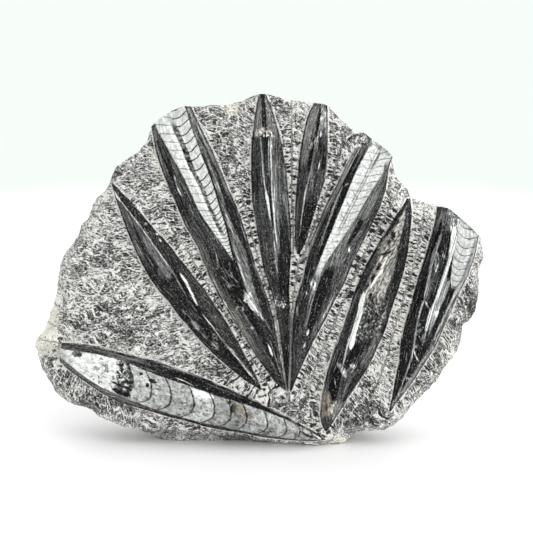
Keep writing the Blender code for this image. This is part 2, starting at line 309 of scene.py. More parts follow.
# The run of the chisel strokes: each goes out from the nearest fossil, a little downhill
SLANT = 0.45
runs = []
for number, (name, edges) in enumerate(FOSSILS.items()):
    left, right = cast(edges[0]), cast(edges[1])
    loop = np.vstack([left, right[::-1], left[:1]])
    dist, _, along, _ = nearest(uv, loop)
    runs.append(np.column_stack([dist, along, np.full(len(uv), number * 37.0)]))
runs = np.array(runs)
to_fossil = runs[:, :, 0].min(axis=0)
strip = 1.0 - smooth((np.sort(runs[:, :, 0], axis=0)[:2].sum(axis=0) - 9.0) / 9.0)
runs[:, :, 1] += SLANT * (1.0 - strip) * runs[:, :, 0]
# The lowest fossil gives way, so the strokes beside it come down from the others
runs[0, :, 0] += 60.0
order = np.argsort(runs[:, :, 0], axis=0)
everyone = np.arange(len(uv))
closest, second = runs[order[0], everyone], runs[order[1], everyone]
share = 0.5 + 0.5 * smooth((second[:, 0] - closest[:, 0]) / 3.0)
dressed = 0.3 + 0.7 * smooth((to_fossil - 0.5) / 2.2)
# Lumps of 40, 24 and 13 mm where the stone broke, and grit of 2 to 5 mm all over
for i in range(len(uv)):
    p = Vector((uv[i, 0], uv[i, 1], w[i]))
    coarse = noise.noise(p / 40.0 + Vector((5.3, 1.7, 8.1)))
    middle = noise.noise(p / 13.0 + Vector((2.1, 9.4, 3.3)))
    scallop = noise.voronoi(p / 24.0)[0][0] - 0.45
    fine = noise.noise(p / 2.2)
    rough = smooth((depth[i] - 0.12) / 0.5)
    below = smooth((46.0 - uv[i, 1]) / 20.0) * smooth((-20.0 - uv[i, 0]) / 50.0)
    w[i] += 0.5 * middle + rough * (4.0 * coarse + 1.0 * middle + 5.0 * scallop)
    w[i] += (1.0 - rough) * below * (2.4 * middle + 3.4 * scallop - 0.9)
    w[i] += dressed[i] * (0.45 * fine + 0.35 * noise.noise(p / 4.6))
    # Point dents of two sizes, with crests left standing between them
    for size, deep in ((7.0, 1.5), (3.6, 0.7)):
        for (away, along, number), part in ((closest[i], share[i]), (second[i], 1.0 - share[i])):
            near = noise.voronoi(Vector((along / size + 0.4 * middle,
                                         away / (size * 1.8) + 0.3 * fine, number)))[0]
            w[i] += part * (1.0 - rough) * deep * dressed[i] * (0.25 - min(near[1] - near[0], 0.5))
    chip = noise.voronoi(p / 5.5)[0][0] - 0.4
    uv[i] += inward[i] * near_rim[i] * (0.8 * middle + 1.3 * chip + 2.2 * rough * (scallop + 0.2))
place(matrix.data, stand(np.column_stack([uv, w])))
co = coordinates(matrix.data)
co[:, 2] = np.maximum(co[:, 2], 0.0)
place(matrix.data, co)
matrix.data.shade_smooth()


def linear(code):
    """sRGB hex to a linear colour."""
    parts = [int(code[i:i + 2], 16) / 255.0 for i in (1, 3, 5)]
    return (tuple(c / 12.92 if c <= 0.04045 else ((c + 0.055) / 1.055) ** 2.4 for c in parts)
            + (1.0,))


def new_material(name):
    """A material with an empty node tree."""
    made = bpy.data.materials.new(name)
    made.use_nodes = True
    made.node_tree.nodes.clear()
    return made


def add(tree, kind, settings=(), **links):
    """One node with its settings, its constant inputs and its links."""
    node = tree.nodes.new(kind)
    for key, value in dict(settings).items():
        setattr(node, key, value)
    for key, value in links.items():
        name = key.replace("_", " ")
        socket = (node.inputs[int(key[1:])] if key[0] == "i" and key[1:].isdigit()
                  else node.inputs[name])
        if isinstance(value, bpy.types.Node):
            value = value.outputs[0]
        if isinstance(value, bpy.types.NodeSocket):
            tree.links.new(value, socket)
        else:
            socket.default_value = value
    return node


# What the stone's material reads: the run of the chisel strokes, square to the nearest fossil,
# how far each spot is from a fossil, from the rim and from the face, and its paler and darker parts
sight_x, sight_y = seen(np.column_stack([uv, w])).T
put(matrix.data, "strokes", closest[:, [1, 0, 2]])
put(matrix.data, "other_strokes", second[:, [1, 0, 2]])
put(matrix.data, "stroke_share", share)
put(matrix.data, "to_fossil", to_fossil)
put(matrix.data, "broken", smooth((depth - 0.16) / 0.3))


def dapple(x, y, size, seed=0):
    """Smooth noise from -1 to 1 over the view, with spots of the given size."""
    table = np.random.default_rng(seed).uniform(-1.0, 1.0, (97, 97))
    x, y = np.asarray(x) / size, np.asarray(y) / size
    i, j = np.floor(x).astype(int), np.floor(y).astype(int)
    u, v = smooth(x - i), smooth(y - j)
    rows = [table[i % 97, (j + k) % 97] * (1 - u) + table[(i + 1) % 97, (j + k) % 97] * u
            for k in (0, 1)]
    return rows[0] * (1 - v) + rows[1] * v


ragged = dapple(sight_x, sight_y, 2.2, 21) + 0.8 * dapple(sight_x, sight_y, 5.0, 22)
bias = 0.05 * dapple(sight_x, sight_y, 26.0, 23) + 0.05 * dapple(sight_x, sight_y, 11.0, 24)
calcite = np.zeros(len(uv))
# Centre, two radii, how much paler, and how far it is calcite rather than bruised limestone
for x0, y0, rx, ry, paler, part in (
        (46, 338, 16, 17, 0.95, 1.0), (53, 318, 9, 12, 0.62, 1.0), (66, 336, 9, 12, 0.20, 0.5),
        (62, 353, 9, 6, 0.44, 0.9), (40, 352, 5, 8, 0.20, 0.8), (231, 108, 9, 8, 0.36, 1.0),
        (156, 163, 6, 18, 0.26, 0.6), (292, 291, 6, 15, 0.40, 0.6), (376, 371, 6, 9, 0.30, 0.5),
        (330, 438, 20, 7, 0.24, 0.7), (306, 430, 10, 6, 0.20, 0.5), (316, 387, 10, 12, 0.14, 0.5),
        (151, 303, 8, 10, 0.16, 0.2), (141, 275, 8, 18, 0.13, 0.3), (107, 276, 24, 6, 0.12, 0.1),
        (104, 227, 12, 8, 0.10, 0.1), (85, 320, 26, 12, -0.16, 0.0), (97, 258, 15, 10, -0.12, 0.0),
        (135, 330, 30, 6, -0.10, 0.0), (120, 402, 60, 14, -0.18, 0.0),
        (190, 431, 60, 6, -0.18, 0.0), (345, 415, 45, 22, -0.14, 0.0),
        (290, 410, 30, 18, -0.08, 0.0), (135, 170, 26, 14, -0.07, 0.0),
        (178, 218, 14, 26, -0.12, 0.0), (205, 360, 26, 14, -0.08, 0.0),
        (303, 112, 18, 6, 0.10, 0.2), (425, 208, 18, 5, 0.12, 0.2), (405, 270, 9, 40, 0.17, 0.3),
        (395, 320, 9, 34, 0.15, 0.3), (448, 345, 9, 22, 0.12, 0.3), (474, 300, 9, 30, -0.16, 0.0),
        (366, 390, 14, 12, -0.04, 0.0), (230, 320, 9, 30, 0.12, 0.4),
        (400, 372, 10, 20, 0.08, 0.2), (460, 340, 10, 24, -0.08, 0.0),
        (357, 262, 11, 30, -0.09, 0.0), (200, 350, 34, 16, 0.08, 0.0),
        (176, 215, 10, 24, 0.06, 0.0), (130, 182, 16, 16, 0.06, 0.0),
        (365, 415, 30, 12, -0.04, 0.0), (340, 165, 26, 30, -0.10, 0.0),
        (450, 300, 60, 16, -0.05, 0.0), (430, 375, 30, 40, -0.10, 0.0),
        (345, 132, 20, 16, -0.06, 0.0), (263, 393, 6, 5, 0.22, 0.0),
        (330, 178, 10, 26, -0.08, 0.0), (412, 248, 7, 26, 0.26, 0.0),
        (296, 135, 8, 26, -0.07, 0.0), (462, 316, 16, 26, -0.08, 0.0),
        (468, 318, 14, 26, -0.08, 0.0), (97, 405, 34, 12, -0.06, 0.0),
        (203, 358, 18, 18, -0.05, 0.0), (250, 437, 50, 6, -0.16, 0.0), (361, 141, 9, 5, 0.16, 0.2),
        (119, 349, 13, 4.4, 0.62, 0.3), (137, 353.5, 12, 3.6, 0.42, 0.3),
        (155, 356.5, 10, 3.0, 0.26, 0.2), (376, 144, 6, 4, 0.4, 0.6)):
    reach = np.hypot((sight_x - x0) / rx, (sight_y - y0) / ry) + 0.22 * ragged
    inside = 1.0 - smooth((reach - 0.55) / 0.6)
    bias += paler * inside
    calcite = np.maximum(calcite, part * inside)
face_only = 1.0 - smooth((depth - 0.25) / 0.3)
put(matrix.data, "bias", bias * face_only)
put(matrix.data, "calcite", calcite * face_only)
put(matrix.data, "bevel", (1.0 - smooth((edge - 3.5) / 5.0)) * np.where(uv[:, 1] < 175.0, 1.0, 0.3))
put(matrix.data, "strip", strip)

# Point-chiselled limestone is dull all over: white where the point crushed it, mid grey where a
# flake came off, and dark in the pits.
limestone = new_material("point_chiselled_grey_limestone")
tree = limestone.node_tree
# Tones are summed as they look and turned to albedo at the end. Scales of noise are per metre:
# 1000 is grain of about a millimetre.
place_at = add(tree, "ShaderNodeTexCoord").outputs["Object"]
waver = add(tree, "ShaderNodeTexNoise", Vector=place_at, Scale=80.0, Detail=1.0)
face = {label: add(tree, "ShaderNodeAttribute", {"attribute_name": label}).outputs["Fac"]
        for label in ("stroke_share", "to_fossil", "broken", "bias", "calcite", "bevel", "strip")}


def strokes(across, length, wander, shape):
    """A pattern drawn out along the strokes of the two nearest fossils, blended between them."""
    both = []
    for run in ("other_strokes", "strokes"):
        hatch = add(tree, "ShaderNodeAttribute", {"attribute_name": run})
        swing = add(tree, "ShaderNodeVectorMath", {"operation": "MULTIPLY_ADD"},
                    i0=waver.outputs["Color"], i1=(wander, wander, 0.0), i2=hatch.outputs["Vector"])
        drawn = add(tree, "ShaderNodeVectorMath", {"operation": "DIVIDE"}, i0=swing,
                    i1=(across, length, 1.0))
        both.append(shape(drawn))
    return add(tree, "ShaderNodeMix", i0=face["stroke_share"], i2=both[0], i3=both[1])


def threads(across, length, wander, width):
    """Thin crooked lines, edged with painted shadow."""
    def shape(at):
        field = add(tree, "ShaderNodeTexNoise", Vector=at, Scale=1.0, Detail=0.5)
        off = add(tree, "ShaderNodeMath", {"operation": "ABSOLUTE"},
                  i0=add(tree, "ShaderNodeMath", {"operation": "SUBTRACT"}, i0=field, i1=0.5))
        crest = add(tree, "ShaderNodeMapRange", Value=off, From_Min=width, From_Max=width / 5)
        # Painted shadow: a dark band beside each line
        painted_shadow = add(tree, "ShaderNodeMapRange", Value=off, From_Min=width * 2.4, From_Max=width,
                     To_Max=-0.4)
        return add(tree, "ShaderNodeMath", {"operation": "MULTIPLY_ADD"}, i0=crest, i1=1.4,
                   i2=painted_shadow)

    line = strokes(across, length, wander, shape)
    broken = add(tree, "ShaderNodeTexNoise", Vector=place_at, Scale=1100.0 / length, Detail=2.0)
    return add(tree, "ShaderNodeMath", {"operation": "MULTIPLY"}, i0=line,
               i1=add(tree, "ShaderNodeMapRange", Value=broken, From_Min=0.40, From_Max=0.60))


def facets(across, length, wander, width):
    """Flake scars: each with a tone of its own, and a bright crest where two of them meet."""
    def shape(at):
        edge = add(tree, "ShaderNodeTexVoronoi", {"feature": "DISTANCE_TO_EDGE",
                   "voronoi_dimensions": "2D"}, Vector=at, Scale=1.0)
        crest = add(tree, "ShaderNodeMapRange", Value=edge, From_Min=width, From_Max=width / 4)
        gaps = add(tree, "ShaderNodeTexNoise", Vector=place_at, Scale=170.0, Detail=1.0)
        crest = add(tree, "ShaderNodeMath", {"operation": "MULTIPLY"}, i0=crest,
                    i1=add(tree, "ShaderNodeMapRange", Value=gaps, From_Min=0.42, From_Max=0.54))
        cell = add(tree, "ShaderNodeTexVoronoi", {"voronoi_dimensions": "2D"}, Vector=at, Scale=1.0)
        own = add(tree, "ShaderNodeSeparateColor", Color=cell.outputs["Color"])
        return add(tree, "ShaderNodeMath", {"operation": "ADD"}, i0=crest,
                   i1=add(tree, "ShaderNodeMapRange", Value=own, To_Min=-0.30, To_Max=0.14))

    return strokes(across, length, wander, shape)


def combed(across, length, wander):
    """Short strokes side by side, light and dark by turns."""
    def shape(at):
        waves = add(tree, "ShaderNodeTexNoise", Vector=at, Scale=1.0, Detail=1.0)
        return add(tree, "ShaderNodeMapRange", Value=waves, From_Min=0.38, From_Max=0.62,
                   To_Min=-0.5, To_Max=0.5)

    return strokes(across, length, wander, shape)


def pitted(across, length, wander):
    """Dark pits of uneven depth with white bruised rims."""
    def shape(at):
        cell = add(tree, "ShaderNodeTexVoronoi", {"voronoi_dimensions": "2D"}, Vector=at, Scale=1.0)
        own = add(tree, "ShaderNodeSeparateColor", Color=cell.outputs["Color"])
        pit = add(tree, "ShaderNodeMapRange", Value=cell.outputs["Distance"], From_Min=0.20,
                  From_Max=0.60, To_Min=-1.0, To_Max=0.75)
        return add(tree, "ShaderNodeMath", {"operation": "MULTIPLY"}, i0=pit,
                   i1=add(tree, "ShaderNodeMapRange", Value=own, From_Min=0.1, From_Max=0.9,
                          To_Min=0.15, To_Max=1.0))

    return strokes(across, length, wander, shape)


def spread(scale, detail, low, high):
    """Noise stretched so that most of it lies between 0 and 1."""
    return add(tree, "ShaderNodeMapRange", Value=add(
        tree, "ShaderNodeTexNoise", Vector=place_at, Scale=scale, Detail=detail, Roughness=0.7),
        From_Min=low, From_Max=high)


def total(terms):
    """Sum of (socket, weight) pairs and a constant."""
    result = terms[0]
    for socket, weight in terms[1:]:
        result = add(tree, "ShaderNodeMath", {"operation": "MULTIPLY_ADD"}, i0=socket, i1=weight,
                     i2=result)
    return result


# White bruise lines, long, short and fine, and rungs between two fossils that lie close
scars = facets(8.5, 15.0, 16.0, 0.070)
long_threads = threads(3.4, 12.0, 7.0, 0.050)
short_threads = threads(1.9, 7.0, 4.5, 0.080)
fine_threads = threads(1.15, 3.6, 2.5, 0.12)
rungs = add(tree, "ShaderNodeMath", {"operation": "MULTIPLY"}, i0=face["strip"],
            i1=combed(1.80, 7.0, 3.0))
# Crushed grain, dark dents and pits of 0.6 to 4 mm
grain = spread(980.0, 1.0, 0.37, 0.63)
specks = add(tree, "ShaderNodeTexVoronoi", {"feature": "F1"}, Vector=place_at, Scale=860.0)
speck = add(tree, "ShaderNodeSeparateColor", Color=specks.outputs["Color"])
lumps = spread(120.0, 2.0, 0.36, 0.64)
pitting = pitted(1.8, 3.4, 5.0)
close = add(tree, "ShaderNodeMath", {"operation": "MULTIPLY_ADD"}, i0=face["strip"], i1=0.34,
            i2=0.08)
pitting = add(tree, "ShaderNodeMath", {"operation": "MULTIPLY"}, i0=pitting, i1=close)
beside = add(tree, "ShaderNodeMapRange", Value=face["to_fossil"], From_Min=14.0, From_Max=6.0,
             To_Min=0.16, To_Max=0.42)
beside = add(tree, "ShaderNodeMath", {"operation": "MULTIPLY_ADD"}, i0=face["strip"], i1=0.28,
             i2=beside)
combing = add(tree, "ShaderNodeMath", {"operation": "MULTIPLY"}, i0=combed(1.05, 6.5, 3.5),
              i1=beside)
pits = spread(560.0, 2.0, 0.39, 0.31)
bruise = add(tree, "ShaderNodeMapRange", {"interpolation_type": "SMOOTHSTEP"},
             Value=face["to_fossil"], From_Min=1.45, From_Max=0.6)
bruise = add(tree, "ShaderNodeMath", {"operation": "MULTIPLY"}, i0=bruise,
             i1=spread(90.0, 3.0, 0.34, 0.50))
unbroken = add(tree, "ShaderNodeMapRange", Value=face["broken"], From_Min=0.5, From_Max=0.1)
bruise = add(tree, "ShaderNodeMath", {"operation": "MULTIPLY"}, i0=bruise, i1=unbroken)
calm = total([1.0, (face["bevel"], -0.6), (face["broken"], -0.80), (face["calcite"], -0.3),
              (face["bias"], 1.6)])
white = total([0.0, (scars, 0.72), (long_threads, 0.72), (short_threads, 0.40),
               (fine_threads, 0.44), (rungs, 1.45), (pitting, 1.0), (combing, 1.0)])
white = add(tree, "ShaderNodeMath", {"operation": "MULTIPLY"}, i0=white, i1=calm)
tone = total([0.08, (grain, 0.44), (speck, 0.38), (lumps, 0.18), (white, 1.0), (pits, -0.45),
              (bruise, 0.75), (face["broken"], -0.06), (face["bias"], 0.95),
              (face["bevel"], 0.12), (face["strip"], -0.03)])
shade = add(tree, "ShaderNodeMapRange", Value=tone)
albedo = add(tree, "ShaderNodeMath", {"operation": "POWER"},
             i0=add(tree, "ShaderNodeMath", {"operation": "MAXIMUM"}, i0=shade, i1=0.12), i1=2.2)
tint = add(tree, "ShaderNodeMix", {"data_type": "RGBA"}, i0=face["calcite"], i6=linear("#fffefa"),
           i7=linear("#fffdf0"))
colour = add(tree, "ShaderNodeVectorMath", {"operation": "SCALE"}, i0=tint.outputs[2], Scale=albedo)
lift = add(tree, "ShaderNodeBump", Height=tone, Strength=1.0, Distance=0.0008)
shader = add(tree, "ShaderNodeBsdfPrincipled", Base_Color=colour, Roughness=0.85, Normal=lift)
add(tree, "ShaderNodeOutputMaterial", Surface=shader)
matrix.data.materials.append(limestone)
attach(matrix, "root")
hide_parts("matrix_slab")


# The large chambered fossil, left of the middle
# A straight nautiloid shell turned to black limestone and white calcite. It is cut free of the
# matrix, so that it stands in relief, and ground by hand into long facets that are then polished;
# here they cut through the shell's axis, so its chambers and its mottled siphuncle show.
def even(line, count):
    """The same line with evenly spaced points."""
    line = np.asarray(line, float)
    steps = np.hypot(*np.diff(line, axis=0).T)
    run = np.concatenate([[0.0], np.cumsum(steps)]) / steps.sum()
    shares = np.linspace(0.0, 1.0, count)
    return np.column_stack([np.interp(shares, run, line[:, i]) for i in range(2)])


def crossings(start, span, line):
    """How far across each row a traced line passes, as a share of the row."""
    dense = even(cast(line, 4.0), 400)
    offset = dense[None] - start[:, None]
    length = np.hypot(span[:, 0], span[:, 1])
    across = span / length[:, None]
    ahead = np.abs(offset[:, :, 0] * across[:, 1:] - offset[:, :, 1] * across[:, :1])
    hit = offset[np.arange(len(start)), ahead.argmin(axis=1)]
    share = np.clip((hit * across).sum(axis=1) / length, 0.04, 0.96)
    return np.convolve(np.pad(share, 8, "edge"), np.ones(17) / 17.0, "valid")


def aside(line, across, down=0.0):
    """A traced line moved across and down in the view."""
    return [(x0 + across, y0 + down) for x0, y0 in line]


INSIDE = nearest(np.array([[0.0, 110.0]]), RIM_CLOSED)[1][0]
ROOT = 6.5                 # how far a fossil's walls go down into the matrix
BROKEN_AT = 3.0            # how far past the rim a fossil is broken off
# What is laid on a fossil: its tone, how far it is calcite, its chamber walls' places, spacing and
# strength, how far it is crust, and how warm it is
MARKS = ("tone", "calcite", "wall", "wall_gap", "septum", "crust", "warm")


class Fossil:
    """A ground fossil: a fine grid between its two edges, and the tones laid on it."""

    def __init__(self, name, crests, relief=7.0, spacing=0.42, lying=False, past_rim=0.0):
        left, right = (cast(edge) for edge in FOSSILS[name])
        if past_rim:
            left, right = (np.vstack([line[0] + past_rim * (line[0] - line[1])
                                      / np.hypot(*(line[0] - line[1])), line])
                           for line in (left, right))
        length = np.hypot(*((left[0] + right[0] - left[-1] - right[-1]) / 2))
        rows = int(length / spacing) + 1
        start = even(left, rows)
        span = even(right, rows) - start
        width = np.maximum(np.hypot(span[:, 0], span[:, 1]), 0.4)
        columns = int(width.max() / spacing) + 3
        rise = np.minimum(relief, 0.45 * width)
        share = np.linspace(0.0, 1.0, columns)
        knots = [np.zeros(rows)] + [crossings(start, span, line) for _, line in crests]
        knots = np.sort(np.array(knots + [np.ones(rows)]), axis=0)
        levels = np.array([0.16] + [level for level, _ in crests] + [0.16])
        height = np.zeros((rows, columns))
        for row in range(rows):
            soft = 0.7 / max(width[row], 2.0)
            for shift in (-1.0, -0.5, 0.0, 0.5, 1.0):
                at = np.clip(share + shift * soft, 0.0, 1.0)
                height[row] += np.interp(at, knots[:, row], levels) / 5.0
        self.name, self.rows, self.columns = name, rows, columns
        flat = start[:, None] + span[:, None] * share[None, :, None]
        self.lie = np.dstack([np.repeat(np.linspace(0.0, length, rows)[:, None], columns, 1),
                              share[None] * width[:, None], rise[:, None] * height])
        # Where it runs out over the rim it is broken off with the plate
        edge, side, _, _ = nearest(flat.reshape(-1, 2), RIM_CLOSED)
        over = np.where(side * INSIDE < 0, edge, 0.0)
        first = (over.reshape(rows, columns) > BROKEN_AT).sum(axis=0)
        for column in range(columns):
            spots = np.linspace(first[column], rows - 1, rows)
            for sheet in (flat, self.lie):
                for axis in range(sheet.shape[2]):
                    sheet[:, column, axis] = np.interp(spots, np.arange(rows),
                                                       sheet[:, column, axis])
        uv = flat.reshape(-1, 2)
        edge, side, _, _ = nearest(uv, RIM_CLOSED)
        over = np.where(side * INSIDE < 0, edge, 0.0)
        sunk = smooth(over / BROKEN_AT)
        down = left[-1] + right[-1] - left[0] - right[0]
        uv += (down / np.hypot(*down))[None] * (0.8 * over + 7.0 * sunk)[:, None]
        base = np.where(over > 0, -5.5 - 2.5 * sunk, face_height(uv))
        self.sunk = sunk.reshape(rows, columns)
        raised = base.reshape(rows, columns) + self.lie[:, :, 2] * (1.0 - self.sunk)
        self.grid = np.dstack([uv.reshape(rows, columns, 2), raised])
        self.x, self.y = seen(self.grid.reshape(-1, 3)).T
        self.lying = lying
        self.ragged = dapple(self.x, self.y, 1.4, 1) + 0.6 * dapple(self.x, self.y, 3.5, 2)
        self.marks = {label: np.zeros(rows * columns) for label in MARKS}
        self.marks["tone"][:] = 0.14
        self.marks["wall_gap"][:] = 5.0
        self.to_edge = (np.minimum(share, 1.0 - share)[None] * width[:, None]).ravel()

    def main(self):
        """The view's axis that the fossil mostly runs along, and the other one."""
        return (self.x, self.y) if self.lying else (self.y, self.x)

    def at(self, line):
        """A traced border's place on the other axis, at each point of the grid."""
        order = np.array(line, float)
        if not self.lying:
            order = order[:, ::-1]
        order = order[order[:, 0].argsort()]
        along = self.main()[0]
        return np.interp(along, order[:, 0], order[:, 1])

    def zone(self, low, high, soft=1.0, ends=(-999.0, 999.0), fade=6.0):
        """Share of each point that lies between two traced borders."""
        along, across = self.main()
        across = across + 0.22 * self.ragged
        inside = smooth((across - self.at(low)) / soft + 0.5)
        inside = inside * smooth((self.at(high) - across) / soft + 0.5)
        return inside * smooth((along - ends[0]) / fade) * smooth((ends[1] - along) / fade)

    def stroke(self, line, width, soft=0.8, fade=0.0):
        """Share of each point that a traced line covers; it thins out over its last units."""
        sight = np.column_stack([self.x, self.y])
        dist, _, along, _ = nearest(sight, line)
        if fade:
            length = np.hypot(*np.diff(np.array(line, float), axis=0).T).sum()
            width = width * np.minimum(1.0, np.minimum(along, length - along) / fade + 0.15)
        dist = dist + 0.28 * self.ragged * np.minimum(1.0, width / 2.0)
        return 1.0 - smooth((dist - width / 2 + soft / 2) / soft)

    def patch(self, x, y, rx, ry, turn=0.0, ragged=0.4):
        """An uneven spot, with its two radii."""
        turn = math.radians(turn)
        u = ((self.x - x) * math.cos(turn) + (self.y - y) * math.sin(turn)) / rx
        v = ((self.y - y) * math.cos(turn) - (self.x - x) * math.sin(turn)) / ry
        reach = np.hypot(u, v) + ragged * self.ragged
        return 1.0 - smooth((reach - 0.7) / 0.6)

    def lay(self, mask, tone=None, most=1.0, **marks):
        """Bring the tone, and every other mark that is named, to a value under a mask."""
        if tone is not None:
            marks["tone"] = tone
        for label, value in marks.items():
            self.marks[label] += (value - self.marks[label]) * mask * most

    def veins(self, rows, fade, soft=1.0):
        """Thin veins, cracks and scratches: a traced line, its width and its tone each."""
        for line, width, tone in rows:
            self.lay(self.stroke(line, width, soft, fade), tone)

    def spots(self, rows, most=1.0):
        """Uneven spots: the centre, two radii, the turn and the tone of each."""
        for *spot, tone in rows:
            self.lay(self.patch(*spot), tone, most)

    def chambers(self, along, walls, spacing):
        """Chamber walls where the given run reaches their places; spacing sets their width."""
        self.lay(1.0, wall=np.interp(along, walls, np.arange(len(walls))),
                 wall_gap=spacing * np.interp(along, walls[:-1], np.diff(walls)))

    def dent(self, mask, depth):
        """Sink the surface by a depth in mm under a mask."""
        self.grid[:, :, 2] -= (mask * depth).reshape(self.rows, self.columns)

    def finish(self, material):
        """Close the grid with walls that go down into the matrix, and dress the solid with it."""
        rows, columns = self.rows, self.columns
        top = self.grid.reshape(-1, 3)
        edge = np.arange(rows * columns).reshape(rows, columns)
        rim = edge[:, [0, -1]].ravel()
        foot = top[rim]
        shallow = foot[:, 2] - 0.5 - 2.0 * (1.0 - self.sunk.ravel()[rim])
        foot[:, 2] = np.minimum(shallow, np.maximum(foot[:, 2] - ROOT, -8.0))
        under = rows * columns + np.arange(rows * 2).reshape(rows, 2)
        quads = [(edge[:-1, :-1], edge[:-1, 1:], edge[1:, 1:], edge[1:, :-1]),
                 (under[:-1, 0], edge[:-1, 0], edge[1:, 0], under[1:, 0]),
                 (edge[:-1, -1], under[:-1, 1], under[1:, 1], edge[1:, -1]),
                 (under[:-1, 1], under[:-1, 0], under[1:, 0], under[1:, 1])]
        faces = np.vstack([np.column_stack([c.ravel() for c in quad]) for quad in quads]).tolist()
        faces.append([int(under[0, 0]), int(under[0, 1])] + edge[0, ::-1].tolist())
        faces.append([int(under[-1, 1]), int(under[-1, 0])] + edge[-1].tolist())
        mesh = bpy.data.meshes.new(self.name)
        mesh.from_pydata((stand(np.vstack([top, foot])) * MM).tolist(), [], faces)
        turn_outward(mesh)
        mesh.shade_smooth()
        # Painted shade darkens the edges where they meet the matrix, with a pale worn outline in
        # places
        self.marks["tone"] *= 1.0 - 0.35 * (1.0 - smooth((self.to_edge - 0.5) / 0.9))
        worn = smooth(1.4 * dapple(self.x, self.y, 6.0, 31) + 0.35)
        self.lay(worn * (1.0 - smooth((self.to_edge - 0.1) / 0.4)), 0.58, most=0.8)
        for label, values in self.marks.items():
            put(mesh, label, np.concatenate([values, values[rim]]))
        lie = self.lie.reshape(-1, 3)
        put(mesh, "lie", np.vstack([lie, lie[rim] - (0.0, 0.0, ROOT)]))
        mesh.materials.append(material)
        piece = mesh_object(self.name + "_ground", mesh)
        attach(piece, "root")
        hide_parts(self.name)


